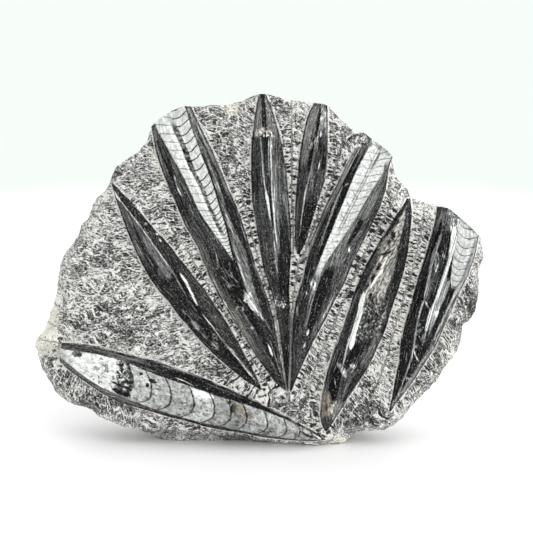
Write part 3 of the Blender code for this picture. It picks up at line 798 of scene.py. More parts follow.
def ground_stone(name):
    """Black limestone and calcite, ground along the shell and polished.

    The grinding leaves long fine lines, and the polish a deep black with a faint streaky sheen.
    """
    made = new_material(name)
    tree = made.node_tree
    tone, calcite, wall_at, wall_gap, septum, crust, warm = (
        add(tree, "ShaderNodeAttribute", {"attribute_name": label}).outputs["Fac"]
        for label in MARKS)
    lie = add(tree, "ShaderNodeAttribute", {"attribute_name": "lie"}).outputs["Vector"]

    def drawn_noise(along, across, detail, settings=()):
        """Noise with its run along and across the shell in millimetres."""
        at = add(tree, "ShaderNodeVectorMath", {"operation": "DIVIDE"}, i0=lie,
                 i1=(along, across, across))
        return add(tree, "ShaderNodeTexNoise", settings, Vector=at, Scale=1.0, Detail=detail,
                   Roughness=0.65)

    # The wheel's lines, 0.3 to 1 mm apart and centimetres long, over the stone's own grain
    lines = drawn_noise(24.0, 0.55, 3.0)
    broad = drawn_noise(45.0, 2.2, 2.0)
    brush = add(tree, "ShaderNodeMapRange", Value=lines, From_Min=0.34, From_Max=0.66,
                To_Min=0.48, To_Max=1.58)
    brush = add(tree, "ShaderNodeMath", {"operation": "MULTIPLY"}, i0=brush,
                i1=add(tree, "ShaderNodeMapRange", Value=broad, From_Min=0.3, From_Max=0.7,
                       To_Min=0.72, To_Max=1.28))
    black = add(tree, "ShaderNodeMath", {"operation": "MULTIPLY"}, i0=tone, i1=brush)
    gritty = add(tree, "ShaderNodeMapRange", Value=drawn_noise(1.6, 1.1, 2.0), From_Min=0.32,
                 From_Max=0.68, To_Min=-0.40, To_Max=0.60)
    black = add(tree, "ShaderNodeMath", {"operation": "MULTIPLY_ADD"}, i0=gritty, i1=0.22, i2=black)
    # Long scratches and small flecks of calcite, both under a millimetre wide
    scratch = add(tree, "ShaderNodeMapRange", {"interpolation_type": "SMOOTHSTEP"},
                  Value=drawn_noise(22.0, 0.7, 1.0), From_Min=0.64, From_Max=0.74, To_Max=0.34)
    fleck = add(tree, "ShaderNodeMapRange", {"interpolation_type": "SMOOTHSTEP"},
                Value=drawn_noise(1.2, 0.8, 1.0), From_Min=0.65, From_Max=0.73, To_Max=0.66)
    black = add(tree, "ShaderNodeMath", {"operation": "ADD"}, i0=black, i1=scratch)
    black = add(tree, "ShaderNodeMath", {"operation": "MAXIMUM"}, i0=black, i1=fleck)
    # Milky calcite, cloudy over 1 to 5 mm and finely cracked, between thin dark chamber walls
    cloud = drawn_noise(3.6, 2.2, 4.0)
    milky = add(tree, "ShaderNodeMath", {"operation": "MULTIPLY_ADD"}, i0=cloud, i1=0.6, i2=-0.31)
    white = add(tree, "ShaderNodeMath", {"operation": "ADD"}, i0=tone, i1=milky)
    white = add(tree, "ShaderNodeMath", {"operation": "MULTIPLY_ADD"}, i0=gritty, i1=0.17, i2=white)
    seam = add(tree, "ShaderNodeMath", {"operation": "ABSOLUTE"},
               i0=add(tree, "ShaderNodeMath", {"operation": "SUBTRACT"},
                      i0=drawn_noise(6.0, 4.0, 1.0), i1=0.52))
    seam = add(tree, "ShaderNodeMapRange", Value=seam, From_Min=0.030, From_Max=0.006,
               To_Max=-0.18)
    seam = add(tree, "ShaderNodeMath", {"operation": "MULTIPLY"}, i0=seam,
               i1=add(tree, "ShaderNodeMapRange", Value=drawn_noise(9.0, 9.0, 2.0), From_Min=0.46,
                      From_Max=0.60))
    white = add(tree, "ShaderNodeMath", {"operation": "ADD"}, i0=white, i1=seam)
    waver = add(tree, "ShaderNodeMath", {"operation": "DIVIDE"},
                i0=add(tree, "ShaderNodeMapRange", Value=drawn_noise(4.0, 4.0, 3.0),
                       To_Min=-0.7, To_Max=0.7), i1=wall_gap)
    waver = add(tree, "ShaderNodeMath", {"operation": "ADD"}, i0=waver, i1=wall_at)
    phase = add(tree, "ShaderNodeMath", {"operation": "FRACT"}, i0=waver)
    off = add(tree, "ShaderNodeMath", {"operation": "SUBTRACT"}, i0=phase, i1=0.5)
    off = add(tree, "ShaderNodeMath", {"operation": "ABSOLUTE"}, i0=off)
    off = add(tree, "ShaderNodeMath", {"operation": "SUBTRACT"}, i0=0.5, i1=off)
    off = add(tree, "ShaderNodeMath", {"operation": "MULTIPLY"}, i0=off, i1=wall_gap)
    wall = add(tree, "ShaderNodeMapRange", {"interpolation_type": "SMOOTHSTEP"}, Value=off,
               From_Min=add(tree, "ShaderNodeMath", {"operation": "MULTIPLY_ADD"}, i0=wall_gap,
                            i1=0.06, i2=0.22), From_Max=0.10)
    faint = add(tree, "ShaderNodeMapRange", Value=drawn_noise(2.5, 2.5, 1.0), From_Min=0.3,
                From_Max=0.6, To_Min=0.55, To_Max=1.0)
    wall = add(tree, "ShaderNodeMath", {"operation": "MULTIPLY"}, i0=wall, i1=faint)
    wall = add(tree, "ShaderNodeMath", {"operation": "MULTIPLY"}, i0=wall, i1=septum)
    white = add(tree, "ShaderNodeMix", i0=wall, i2=white, i3=0.12)
    mixed = add(tree, "ShaderNodeMix", i0=calcite, i2=black, i3=white)
    # Crust: brown and cream grains where the shell's wall is left unground
    grains = drawn_noise(2.6, 1.3, 4.0)
    crusty = add(tree, "ShaderNodeMapRange", Value=grains, From_Min=0.40, From_Max=0.60,
                 To_Min=-0.30, To_Max=0.34)
    crusty = add(tree, "ShaderNodeMath", {"operation": "ADD"}, i0=crusty, i1=tone)
    mixed = add(tree, "ShaderNodeMix", i0=crust, i2=mixed, i3=crusty)
    level = add(tree, "ShaderNodeMapRange", Value=mixed)
    albedo = add(tree, "ShaderNodeMath", {"operation": "POWER"}, i0=level, i1=2.2)
    albedo = add(tree, "ShaderNodeMath", {"operation": "SUBTRACT"}, i0=albedo, i1=0.0085)
    albedo = add(tree, "ShaderNodeMath", {"operation": "MAXIMUM"}, i0=albedo, i1=0.002)
    tint = add(tree, "ShaderNodeMix", {"data_type": "RGBA"}, i0=warm, i6=linear("#fcfffc"),
               i7=linear("#fff3df"))
    colour = add(tree, "ShaderNodeVectorMath", {"operation": "SCALE"}, i0=tint.outputs[2],
                 Scale=albedo)
    rough = add(tree, "ShaderNodeMapRange", Value=lines, From_Min=0.3, From_Max=0.7, To_Min=0.22,
                To_Max=0.42)
    rough = add(tree, "ShaderNodeMix", i0=crust, i2=rough, i3=0.8)
    relief = add(tree, "ShaderNodeMix", i0=crust, i2=lines, i3=grains)
    lift = add(tree, "ShaderNodeBump", Height=relief, Strength=0.5, Distance=0.0004)
    shader = add(tree, "ShaderNodeBsdfPrincipled", Base_Color=colour, Roughness=rough, Normal=lift,
                 Specular_IOR_Level=0.08)
    add(tree, "ShaderNodeOutputMaterial", Surface=shader)
    return made


chambered_stone = ground_stone("ground_black_limestone_and_calcite")

edges = FOSSILS["orthoceras_chambered_left"]
white_left = [(148, 110), (156.5, 128), (161.7, 138), (168, 149), (174, 160), (179.6, 170),
              (184.8, 180), (189.5, 190), (194, 200), (198.5, 210), (204, 219), (211, 229),
              (218.5, 240), (226, 250), (233, 261)]
white_right = [(182, 100), (186, 109), (189, 120), (192.5, 130), (196, 140), (200, 150),
               (203.5, 160), (208, 170), (211.5, 180), (215, 190), (217.5, 200), (220.5, 210),
               (224, 220), (227.5, 230), (230.5, 240), (232.5, 250), (234, 261)]
axis = [(166, 100), (173, 122), (176, 130), (180.5, 140), (185, 150), (188.5, 160), (192.5, 170),
        (197.5, 179), (203, 190), (206.5, 200), (210.5, 210), (215, 219), (223, 236), (229, 250)]
crest = white_right + [(240, 285), (256, 320), (272, 356), (286, 390)]
outer = [(193, 107), (199, 133), (208.5, 150), (215.5, 170), (222, 190), (227, 210), (234.5, 230),
         (245, 250), (249, 270), (254, 290), (262, 310), (272, 340), (286, 388)]
fossil = Fossil("orthoceras_chambered_left", [
    (0.80, white_left + [(246, 290), (286, 388)]), (1.0, crest), (0.62, outer)], past_rim=9.0)
x, y = fossil.x, fossil.y
inner = [(157, 127), (162, 155), (170, 172), (178, 192), (189, 216), (199, 238), (212, 262),
         (240, 312), (262, 350), (285, 390)]
fossil.lay(fossil.zone(edges[0], inner, 2.0), 0.24)
fossil.lay(fossil.zone(inner, white_left, 2.0, ends=(100, 262), fade=14), 0.23)
fossil.lay(fossil.zone(aside(edges[0], 0.5), aside(edges[0], 6.5), 2.5, ends=(232, 372), fade=25),
           0.36)
fossil.lay(fossil.zone(aside(edges[0], 0.5), aside(edges[0], 4.5), 1.6, ends=(120, 182), fade=14),
           0.38)
fossil.lay(fossil.zone(edges[0], inner, 3.0, ends=(240, 380), fade=20), most=0.25, warm=1.0)
fossil.lay(fossil.stroke([(157, 141), (163, 158), (172, 176), (178, 193), (189, 217)], 1.4), 0.08)
white = fossil.zone(white_left, white_right, 1.0, ends=(60, 263), fade=4)
fossil.lay(white, 0.86 - 0.03 * smooth((x - fossil.at(axis)) / 6), calcite=1.0)
dots = 0.6 * dapple(x, y, 1.9, 10)
# Painted highlight: a bright white band along the crest, left of the siphuncle
fossil.lay(fossil.stroke([(162, 115), (170, 128.5), (175, 138.5), (179.6, 148.5), (184.2, 158.5),
                          (188.6, 168.5), (193, 178), (197.4, 187.5), (204, 200), (211, 212.5),
                          (216, 225), (221, 237)], 3.4, 2.0)
           * (0.55 + 0.45 * smooth((y - 118) / 30)), 1.02 + 0.10 * dots, most=0.85)
mottled = fossil.stroke(axis[:7], 5.0, 0.9) * smooth((y - 118) / 8)
mottled = np.maximum(mottled, fossil.stroke(axis[6:], 3.8, 0.9) * smooth((240 - y) / 14))
darker = smooth((y - 147) / 4) * smooth((173 - y) / 4)
fossil.lay(mottled, 0.46 - 0.16 * darker + 0.40 * dots)
# Chamber walls: nearly level left of the siphuncle, swept up like hooks on its right
walls = [88, 96, 103.5, 111, 119, 127, 136, 144, 152.5, 161, 171, 181, 188, 196, 204, 211, 216,
         220.5, 224.5, 228, 231.5, 235, 238.5, 242, 245.5, 249, 252.5, 256, 259.5, 263]
middle, right = fossil.at(axis), fossil.at(white_right)
share = np.clip((x - middle) / np.maximum(right - middle, 1.0), 0.0, 1.0)
reach = np.clip((right - middle) / 13.0, 0.15, 1.0)
rising = y + 8.5 * reach * share ** 1.9
rising += np.where(x < middle, 1.6 + 0.05 * (middle - x), 0.0) * smooth((215 - y) / 20)
fossil.chambers(rising, walls, 0.62)
fossil.lay(white, septum=np.where(x > middle, 1.0, 0.42 + 0.20 * smooth((y - 222) / 20)))
# The right flank: a hairline, a grey ground band, a black band and a thin pale edge, with a painted
# highlight along a rounded ridge
black_band = [(193, 112), (200, 138), (206.5, 150), (213.5, 170), (221, 190), (227, 210),
              (235, 230), (245.5, 250), (250, 270), (255, 290), (262, 310)]
fossil.lay(fossil.zone(white_right, black_band, 1.5, ends=(60, 262), fade=8), 0.31)
# Painted highlight: a light grey strip along a rounded ridge of the flank
painted_highlight_ridge = [(221, 205), (230.5, 230), (234, 250), (239.5, 270), (246, 290), (254, 305), (262, 318),
        (272, 335)]
fossil.lay(fossil.zone(painted_highlight_ridge, black_band, 2.0, ends=(205, 345), fade=20), 0.33)
fossil.lay(fossil.stroke(aside(painted_highlight_ridge, 1.2), 1.8, 1.4, 20), 0.54)
fossil.lay(fossil.zone(black_band, edges[1], 1.5, ends=(60, 170), fade=12), 0.31)
fossil.lay(fossil.stroke(black_band[:4], 1.6, 0.9), 0.12)
fossil.lay(fossil.zone(black_band, edges[1], 1.5, ends=(158, 330), fade=26), 0.10)
fossil.lay(fossil.stroke(aside(edges[1], -1.4), 2.0, 1.2), 0.34, most=0.8)
fossil.lay(fossil.zone(aside(edges[1], -4.0), edges[1], 1.6, ends=(60, 205), fade=20), 0.42,
           most=0.7)
fossil.lay(fossil.stroke([(202, 154), (207, 166), (211.5, 178), (216, 192), (221, 209), (227, 228),
                          (232, 252), (243, 284)], 1.7, 0.8), 0.05)
fossil.lay(fossil.stroke([(196.5, 121), (199.5, 130), (203.5, 140), (208, 152)], 1.0, 0.8, 8), 0.60)
fossil.lay(fossil.stroke([(208, 160), (213, 172), (217, 182), (221.5, 197), (225, 212)], 2.4, 1.0,
                         10), 0.42)
# Below the chambers: black stone with a few pale veins and flecks
fossil.lay(fossil.zone([(224, 262), (240, 308), (262, 350)], [(236, 262), (252, 308), (268, 350)],
                       3.0, ends=(255, 350), fade=12), 0.09)
fossil.lay(fossil.zone([(240, 310), (262, 350), (277, 380)], [(244, 310), (267, 350), (281, 380)],
                       2.0, ends=(305, 385), fade=15), 0.24)
fossil.veins((([(268, 344), (270, 349), (272.5, 356)], 1.9, 0.92),
              ([(216, 253), (217.5, 261), (218.5, 268)], 1.5, 0.60),
              ([(222, 266), (229, 274), (234, 279)], 1.2, 0.38),
              ([(223, 300), (225, 305), (227, 309)], 3.6, 0.66),
              ([(174, 175), (176, 182)], 1.3, 0.85),
              ([(177, 187), (180, 193), (182, 197)], 1.5, 0.75),
              ([(270, 340), (275, 356), (282, 377)], 1.1, 0.36),
              ([(274, 335), (280, 352), (285, 378)], 1.1, 0.30)), 4.0)
crystal = fossil.stroke([(243.5, 290), (247, 298), (252, 306), (258, 313), (264, 321)], 6.0, 1.4,
                        24.0)
crystal = np.maximum(crystal, fossil.patch(248, 297, 3.6, 4.5, 30))
fossil.lay(crystal, 0.80 + 0.45 * dots)
for line in ([(216, 262), (224, 272), (231, 276), (240, 284)], [(220, 275), (228, 283), (238, 287)],
             [(229, 262), (231, 272), (236, 282)], [(236, 296), (243, 304), (249, 312)]):
    fossil.lay(fossil.stroke(line, 1.0, 0.8, 6.0), 0.42)
fossil.spots(((229, 286, 2.2, 1.6, 30, 0.48), (252, 328, 1.8, 1.4, 0, 0.45),
              (243, 309, 1.5, 2.6, 0, 0.5), (237, 308, 1.2, 1.8, 0, 0.5)))
fossil.finish(chambered_stone)


# The chambered fossil right of the middle
# The same kind of shell, cut through off its axis: a long white field with hair-thin walls and a
# fine double line for the siphuncle, a dark flank on its left and a polished one on its right,
# painted blue grey as a reflection.
edges = FOSSILS["orthoceras_chambered_right"]
white_left = [(375, 134), (371.5, 142), (367.5, 150), (362, 160), (357, 170), (352.3, 180),
              (348.3, 190), (344.4, 200), (340.2, 210), (336, 220), (331.8, 231), (327.5, 241),
              (323.7, 251), (319.3, 262), (314, 276), (311, 290)]
white_right = [(396, 146), (391, 158), (385, 170), (379, 180), (372.5, 190), (366.5, 200),
               (360, 211), (354, 221), (347.5, 231), (341, 241), (335, 250), (329, 258), (323, 269),
               (318.5, 280), (316, 291)]
crest = [(362, 146), (354, 160), (344, 180), (338.3, 191), (330.5, 205), (321.5, 222), (314.5, 236),
         (310, 252), (305, 272), (300, 300), (295, 330), (290.5, 388)]
fossil = Fossil("orthoceras_chambered_right", [
    (0.55, crest), (0.97, white_left + [(304, 330), (291, 388)]),
    (1.0, white_right + [(306, 330), (291.5, 389)])], past_rim=9.0)
x, y = fossil.x, fossil.y
fossil.lay(1.0, 0.20)
fossil.lay(fossil.zone(edges[0], crest, 1.5, ends=(120, 262), fade=12),
           0.50 - 0.06 * smooth((y - 175) / 20))
fossil.lay(fossil.stroke([(354, 153), (346, 169), (339.5, 182), (332.5, 195), (324.5, 212),
                          (316.5, 232), (311, 248)], 1.5, 1.0, 10), 0.62)
fossil.lay(fossil.zone([(361.5, 147), (354.5, 160), (346.5, 178), (338, 197), (331, 215),
                        (325, 232), (320, 248)], white_left, 1.5, ends=(120, 262), fade=12),
           0.30 - 0.16 * smooth((y - 150) / 10) - 0.04 * smooth((y - 190) / 20))
fossil.lay(fossil.stroke([(360, 150), (354, 162), (348, 174.5), (343, 185), (338, 196),
                          (333, 207)], 1.5, 1.0, 6), 0.04)
fossil.lay(fossil.stroke([(364, 150), (358.5, 160), (353, 171)], 1.4, 1.0, 5), 0.34)
fossil.lay(fossil.stroke([(346, 185), (348, 183.5)], 1.6, 1.0), 0.60)
fossil.lay(fossil.stroke([(343, 185), (341, 190), (336.5, 200), (333, 210), (329.5, 220),
                          (326, 230), (322.5, 240), (319, 251)], 1.6, 1.0, 10), 0.58)
white = fossil.zone(white_left, white_right, 1.2, ends=(60, 282), fade=12)
fossil.lay(white, most=0.97, calcite=1.0)
share = np.clip((x - fossil.at(white_left)) / 14.0, 0.0, 1.0)
fossil.lay(white, 0.92 - 0.10 * share - 0.10 * smooth((y - 252) / 20))
fossil.lay(fossil.zone([(313, 276), (309, 300), (303, 332)], [(319, 276), (314, 300), (307, 332)],
                       2.5, ends=(272, 338), fade=18), 0.45)
siphuncle = [(381, 146), (374, 160), (366, 177), (356, 197), (346, 217), (337, 235)]
for shift in (-1.3, 1.3):
    fossil.lay(fossil.stroke(aside(siphuncle, shift), 0.9, 0.9, 12), 0.52)
fossil.lay(fossil.stroke([(380.5, 152), (376, 160), (371.5, 168)], 2.2, 1.2, 5), 0.42)
fossil.lay(fossil.stroke([(381, 146), (366, 177), (346, 217), (337, 235)], 1.4, 1.2, 12), 0.80,
           most=0.7)
middle = fossil.at([(386, 136), (366, 177), (346, 217), (320, 268)])
share = np.clip((x - middle) / 9.0, -1.0, 1.0)
walls = [112, 121, 129.5, 138, 146, 153.5, 161, 168.5, 176.5, 184, 191.5, 199, 206.5, 213.5, 221,
         228, 235, 242, 248.5, 255, 262, 269, 276, 283]
rising = y + np.where(share > 0, 2.5 * share ** 2, -1.5 * share)
fossil.chambers(rising, walls, 0.45)
fossil.lay(white, septum=0.26 + 0.24 * np.clip(share, 0, 1))
for line in ([(368, 152), (371, 158), (372, 165)], [(352, 190), (355, 195), (358, 199)],
             [(346, 200), (349, 206)], [(361, 164), (366, 167)], [(366, 141), (369, 147)],
             [(376, 146), (383, 152)], [(340, 214), (345, 219)], [(372, 190), (366, 193)]):
    fossil.lay(fossil.stroke(line, 1.0, 0.9, 3.0), 0.50, most=0.75)
# The right flank is a wide polished facet, with a painted blue grey reflection where it meets the
# light
painted_sheen_line = [(384, 172), (381, 190), (374, 207), (366, 222), (358, 236), (350, 250), (343, 264),
         (335, 280), (326, 296), (318, 312), (309, 332), (300, 360)]
# Painted reflection: the lighter band between the white field and this line
fossil.lay(fossil.zone(white_right, painted_sheen_line, 2.0, ends=(160, 300), fade=10), 0.34)
fossil.lay(fossil.zone(painted_sheen_line, edges[1], 2.0, ends=(160, 300), fade=10), 0.24)
fossil.lay(fossil.zone([(357, 224), (352, 234), (346, 246)], [(363, 224), (357, 234), (349, 246)],
                       2.0, ends=(216, 250), fade=8), 0.10)
fossil.lay(fossil.zone([(327, 266), (318, 285), (312, 305), (306, 330)],
                       [(335, 270), (331, 285), (322, 305), (311, 332)], 2.5, ends=(262, 345),
                       fade=12), 0.08)
fossil.lay(fossil.zone(aside(edges[1], -6.5), edges[1], 2.0, ends=(235, 345), fade=15), 0.31)
fossil.veins((([(349, 247), (349.5, 253)], 2.2, 0.92), ([(346, 255), (344.5, 261)], 1.3, 0.6),
              ([(334, 296), (327, 310), (320, 324)], 1.6, 0.56),
              ([(336, 292), (325, 316)], 1.2, 0.48), ([(308.5, 329), (307, 336)], 2.2, 0.80),
              ([(305.5, 342), (303.5, 348)], 1.8, 0.76),
              ([(304.5, 268), (303, 285), (301, 297)], 1.4, 0.42),
              ([(297, 306), (298, 318)], 2.2, 0.45), ([(306, 290), (307, 296)], 1.4, 0.7)), 3.0)
fossil.lay(fossil.patch(308.5, 277, 3.2, 12.0, 14), 0.12, most=0.7)
fossil.lay(fossil.patch(313.5, 284.5, 3.0, 4.6), 0.66)
fossil.lay(fossil.patch(313.5, 284.5, 1.1, 1.6), 0.35)
# Its broken corner stays under the matrix
corner = smooth((148 - y) / 4) * smooth((373 - x) / 2)
fossil.lay(corner, 0.52, crust=0.5)
fossil.dent(np.maximum(smooth((149 - y) / 5) * smooth((371 - x) / 3),
                       smooth((143 - y) / 4) * smooth((377 - x) / 3)), 8.0)
fossil.finish(chambered_stone)


# The lower left fossil
# The thickest shell, lying along the foot of the plate. Its upper flank is black; below it the
# chambers are plain milky calcite between dark curved walls, stained black and brown in places.
edges = FOSSILS["orthoceras_lower_left"]
border = [(60, 349), (70, 350.5), (80, 352), (95, 354), (105, 356.5), (115, 358.5), (125, 360.5),
          (135, 366), (145, 370.7), (155, 374.6), (165, 378), (175, 381.5), (185, 384.6),
          (195, 388.2), (205, 391.8), (215, 395.5), (225, 398.6), (235, 401.5), (245, 404.5),
          (255, 408), (265, 411.5), (275, 415.5), (285, 419), (295, 423.5), (305, 428),
          (325, 440)]
lower = [(60, 357), (70, 365.5), (86, 378), (103, 388.5), (120, 395.5), (137, 402.5), (153, 409),
         (170, 414), (187, 419), (203, 423), (220, 426.5), (237, 430), (253, 433), (270, 436),
         (287, 438.5), (303, 440), (325, 440.5)]
fossil = Fossil("orthoceras_lower_left",
                [(0.86, border),
                 (1.0, [(60, 355), (100, 370), (150, 388), (200, 402), (250, 418), (325, 440)])],
                relief=9.0, lying=True)
x, y = fossil.x, fossil.y
fossil.lay(1.0, 0.16 - 0.06 * smooth((x - 150) / 40))
upper_band = aside(edges[0], 0.0, 5.0)
fossil.lay(fossil.zone(edges[0], upper_band, 2.5, ends=(52, 152), fade=14),
           0.32 + 0.08 * smooth((x - 95) / 20))
fossil.lay(fossil.zone(upper_band, border, 2.0, ends=(40, 140), fade=20), 0.28)
fossil.lay(fossil.zone(edges[0], border, 2.0, ends=(60, 150), fade=20), warm=0.25)
fossil.veins((([(126, 352), (134, 354), (139, 356)], 1.6, 0.10),
              ([(150, 361), (162, 363.5), (175, 366.5)], 1.6, 0.66),
              ([(160, 365), (180, 370), (205, 379)], 1.1, 0.50),
              ([(205, 383), (225, 391), (250, 401)], 1.0, 0.32),
              ([(175, 377.5), (184, 381), (194, 386)], 1.0, 0.85),
              ([(225, 389), (255, 401), (280, 412)], 1.0, 0.36)), 5.0)
white = fossil.zone(border, lower, 1.2)
fossil.lay(white, 0.87, calcite=1.0)
# Walls bow towards the tip and hook back at their lower ends
span = np.maximum(fossil.at(lower) - fossil.at(border), 2.0)
share = np.clip((y - fossil.at(border)) / span, 0.0, 1.0)
size = np.clip(span / 36.0, 0.2, 1.0)
bowed = x + size * (6.0 * (np.clip(0.45 - share, 0, 1) / 0.45) ** 2
                    + 15.0 * (np.clip(share - 0.45, 0, 1) / 0.55) ** 2.8)
walls = [40, 133, 151.5, 171, 194, 214.5, 231, 246.5, 267.5, 286.5, 300, 312, 322]
fossil.chambers(bowed, walls, 0.6)
fossil.lay(white * smooth((x - 120) / 8), septum=0.86)
flecks = smooth((dapple(x, y, 2.4, 41) + 0.7 * dapple(x, y, 1.2, 42)
                 + 0.4 * dapple(x, y, 14.0, 43) - 0.62) / 0.2)
for left, right, level in ((76, 119, 0.90), (133, 151, 0.74), (151, 171, 0.70), (171, 194, 0.67),
                           (194, 214, 0.74), (214, 231, 0.61), (231, 246, 0.57), (246, 267, 0.69),
                           (267, 286, 0.67), (286, 300, 0.66), (300, 318, 0.68)):
    inside = smooth((bowed - left) / 2.5 + 0.5) * smooth((right - bowed) / 2.5 + 0.5)
    fossil.lay(white * inside, level)
fossil.lay(white * smooth((76 - x) / 12), 0.74)
fossil.lay(white,
           fossil.marks["tone"] + 0.09 * dapple(x, y, 3.2, 31) + 0.08 * dapple(x, y, 1.3, 32))
fossil.lay(white * flecks * smooth((x - 84) / 10), 0.42, most=0.8)
fossil.lay(fossil.zone(lower, aside(edges[1], 0.0, 9.0), 1.6), 0.34 - 0.16 * smooth((x - 120) / 40))
fossil.lay(fossil.patch(203, 394.5, 10, 3.0, 20), 1.05, most=0.9)
fossil.spots(((78, 354, 5, 3.2, 20, 0.28), (97, 368, 3.0, 1.6, 30, 0.52),
              (90, 362, 4, 2, 10, 0.80), (121, 367, 2.5, 3.0, 0, 0.20),
              (129, 383, 3.5, 1.8, 20, 0.14), (122, 392.5, 8.5, 2.2, 24, 0.12),
              (119, 385, 8.0, 1.2, 24, 0.30), (125, 387, 6.0, 1.2, 24, 0.25),
              (121, 389.4, 7.0, 0.9, 24, 0.55), (140.5, 374, 1.6, 1.4, 0, 0.12),
              (152, 381, 4.2, 2.2, 25, 0.10), (147.5, 385, 2.0, 1.8, 40, 0.12),
              (158, 389, 3.5, 0.9, 20, 0.35), (233, 408, 3.0, 5.0, 20, 0.08),
              (230, 402, 1.6, 3.2, 0, 0.10), (247, 414, 3.0, 2.2, 0, 0.30),
              (181, 409, 1.3, 1.0, 0, 0.45), (173, 395, 1.4, 2.4, 0, 0.58),
              (186, 397, 3.0, 0.9, 40, 0.45), (204, 403, 2.0, 0.9, 10, 0.45),
              (237, 423, 2.0, 3.5, 10, 0.40), (283, 424, 1.5, 2.0, 0, 0.55),
              (296, 434, 2.4, 1.4, 20, 0.50)), most=0.92)
speckled = (fossil.zone(border, lower, 1.5) * smooth((x - 115) / 4) * smooth((133 - x) / 4)
            * smooth((397 - y) / 6))
dots = 0.5 * dapple(x, y, 1.9, 6) + 0.4 * dapple(x, y, 1.1, 7)
fossil.lay(speckled * smooth((dots + 0.02) / 0.16), 0.14, most=0.85)
stain = np.maximum(fossil.patch(240, 409, 7.5, 5.0, 25), fossil.patch(248, 415, 5, 4))
fossil.lay(stain * white, 0.44, most=0.6)
fossil.lay(stain, warm=1.0)
fossil.veins((([(300, 431), (307, 435.5), (314, 438)], 2.0, 0.22),
              ([(312, 435), (319, 440)], 1.2, 0.3),
              ([(111, 381), (120, 386), (130, 390)], 1.3, 0.12),
              ([(112, 388), (118, 393), (128, 397)], 2.0, 0.10)), 3.0)
fossil.finish(chambered_stone)


# The far right fossil
# The broken end of a wide shell: pale chambers at the top edge of the plate, a bright calcite vein
# down its middle with a pale band beside it, and black stone with fine veins below.
edges = FOSSILS["orthoceras_far_right"]
vein = [(451.5, 228), (453.5, 237), (453, 245), (451, 254), (448, 265), (444.8, 275), (441.3, 286),
        (437.7, 297), (433.8, 306), (430.8, 312), (428.5, 320), (426.5, 328), (424.5, 337),
        (422.5, 343)]
left_crest = [(444, 207), (441, 230), (436, 248), (430, 270), (425, 288), (421, 305), (416, 325),
              (413, 350), (407, 372), (398, 396), (390, 410)]
right_crest = [(476, 236), (472, 256), (464, 275), (455, 294), (447, 312), (437, 333), (424, 355),
               (408, 380), (391, 410)]
fossil = Fossil("orthoceras_far_right", [(0.72, left_crest), (1.0, vein + [(405, 380), (390, 410)]),
                                         (0.80, right_crest)], past_rim=9.0)
x, y = fossil.x, fossil.y
fossil.lay(1.0, 0.13)
fossil.lay(fossil.zone(edges[0], aside(vein, 3), 2.0, ends=(190, 236), fade=8), 0.29)
fossil.lay(fossil.zone(edges[0], aside(edges[0], 4), 2.0, ends=(225, 300), fade=16), 0.20)
fossil.lay(fossil.stroke([(441.5, 220), (439, 232), (434.5, 243), (428.5, 256)], 3.0, 1.4, 8), 0.07)
fossil.lay(fossil.zone([(430, 262), (427, 280), (425, 295)], [(444, 262), (440, 280), (434, 299)],
                       2.0, ends=(255, 302), fade=12), 0.21)
stony = np.maximum(fossil.patch(455, 220, 5.5, 6.5, 20), fossil.patch(453, 211, 6, 6))
fossil.lay(stony, 0.56, crust=1.0)
white_left = [(459, 212), (457, 226), (457.4, 238), (455.5, 248), (453, 258), (451.2, 268),
              (450.6, 280), (451.5, 292)]
white_right = [(481, 226), (478, 236), (475.8, 245), (472.8, 255), (469.5, 265), (465.5, 274),
               (461, 282.5), (456, 290), (452, 295)]
white = fossil.zone(white_left, white_right, 1.2, ends=(190, 296), fade=6)
fossil.lay(white, 0.78, calcite=1.0, septum=0.62)
share = np.clip((x - fossil.at(white_left))
                / np.maximum(fossil.at(white_right) - fossil.at(white_left), 1.0), 0.0, 1.0)
breadth = np.clip((fossil.at(white_right) - fossil.at(white_left)) / 20.0, 0.2, 1.1)
sagging = y - breadth * (8.4 * (1.0 - (1.0 - np.minimum(share / 0.6, 1.0)) ** 2)
                         - 1.8 * np.maximum(share - 0.6, 0.0) / 0.4)
walls = [190, 201, 211, 220.5, 230.5, 240.5, 248, 255, 263, 270, 277, 284, 292]
fossil.chambers(sagging, walls, 0.62)
fossil.lay(fossil.zone([(450.3, 226), (451.3, 234), (449.8, 246), (448.5, 254)],
                       [(456.5, 228), (457.2, 238), (455.6, 247), (452.5, 256)], 1.5,
                       ends=(224, 258), fade=5), 0.90)
fossil.lay(fossil.stroke(vein, 3.4, 1.2, 30.0), 0.82)
pale_left = [(447, 272), (443.5, 282), (440.5, 291), (436.5, 300), (433.5, 309), (430.5, 319),
             (427.5, 330)]
pale_right = [(450.8, 272), (450, 284), (447, 294), (443, 302), (439, 311), (435.8, 320),
              (431.5, 331)]
fossil.lay(fossil.zone(pale_left, pale_right, 1.6, ends=(264, 340), fade=14),
           0.53 - 0.20 * smooth((y - 315) / 22))
fossil.lay(fossil.patch(436.5, 314, 1.8, 2.6), 0.93)
fossil.lay(fossil.zone([(453, 256), (450, 266), (447, 276)],
                       [(453.6, 256), (451.6, 267), (450.6, 280)], 1.2, ends=(257, 283), fade=5),
           0.10)
fossil.lay(fossil.zone(pale_right, right_crest, 1.6, ends=(284, 400), fade=8), 0.10)
# Painted reflection: a light grey band along the polished right flank, fainter lower down
painted_sheen_band = aside(edges[1], -5.0)
fossil.lay(fossil.zone(painted_sheen_band, edges[1], 1.8, ends=(234, 412), fade=8),
           0.52 - 0.12 * smooth((y - 330) / 50))
fossil.lay(fossil.stroke([(458, 292), (450, 309), (442, 326), (433, 344), (422, 360)], 1.0, 0.8,
                         8), 0.20)
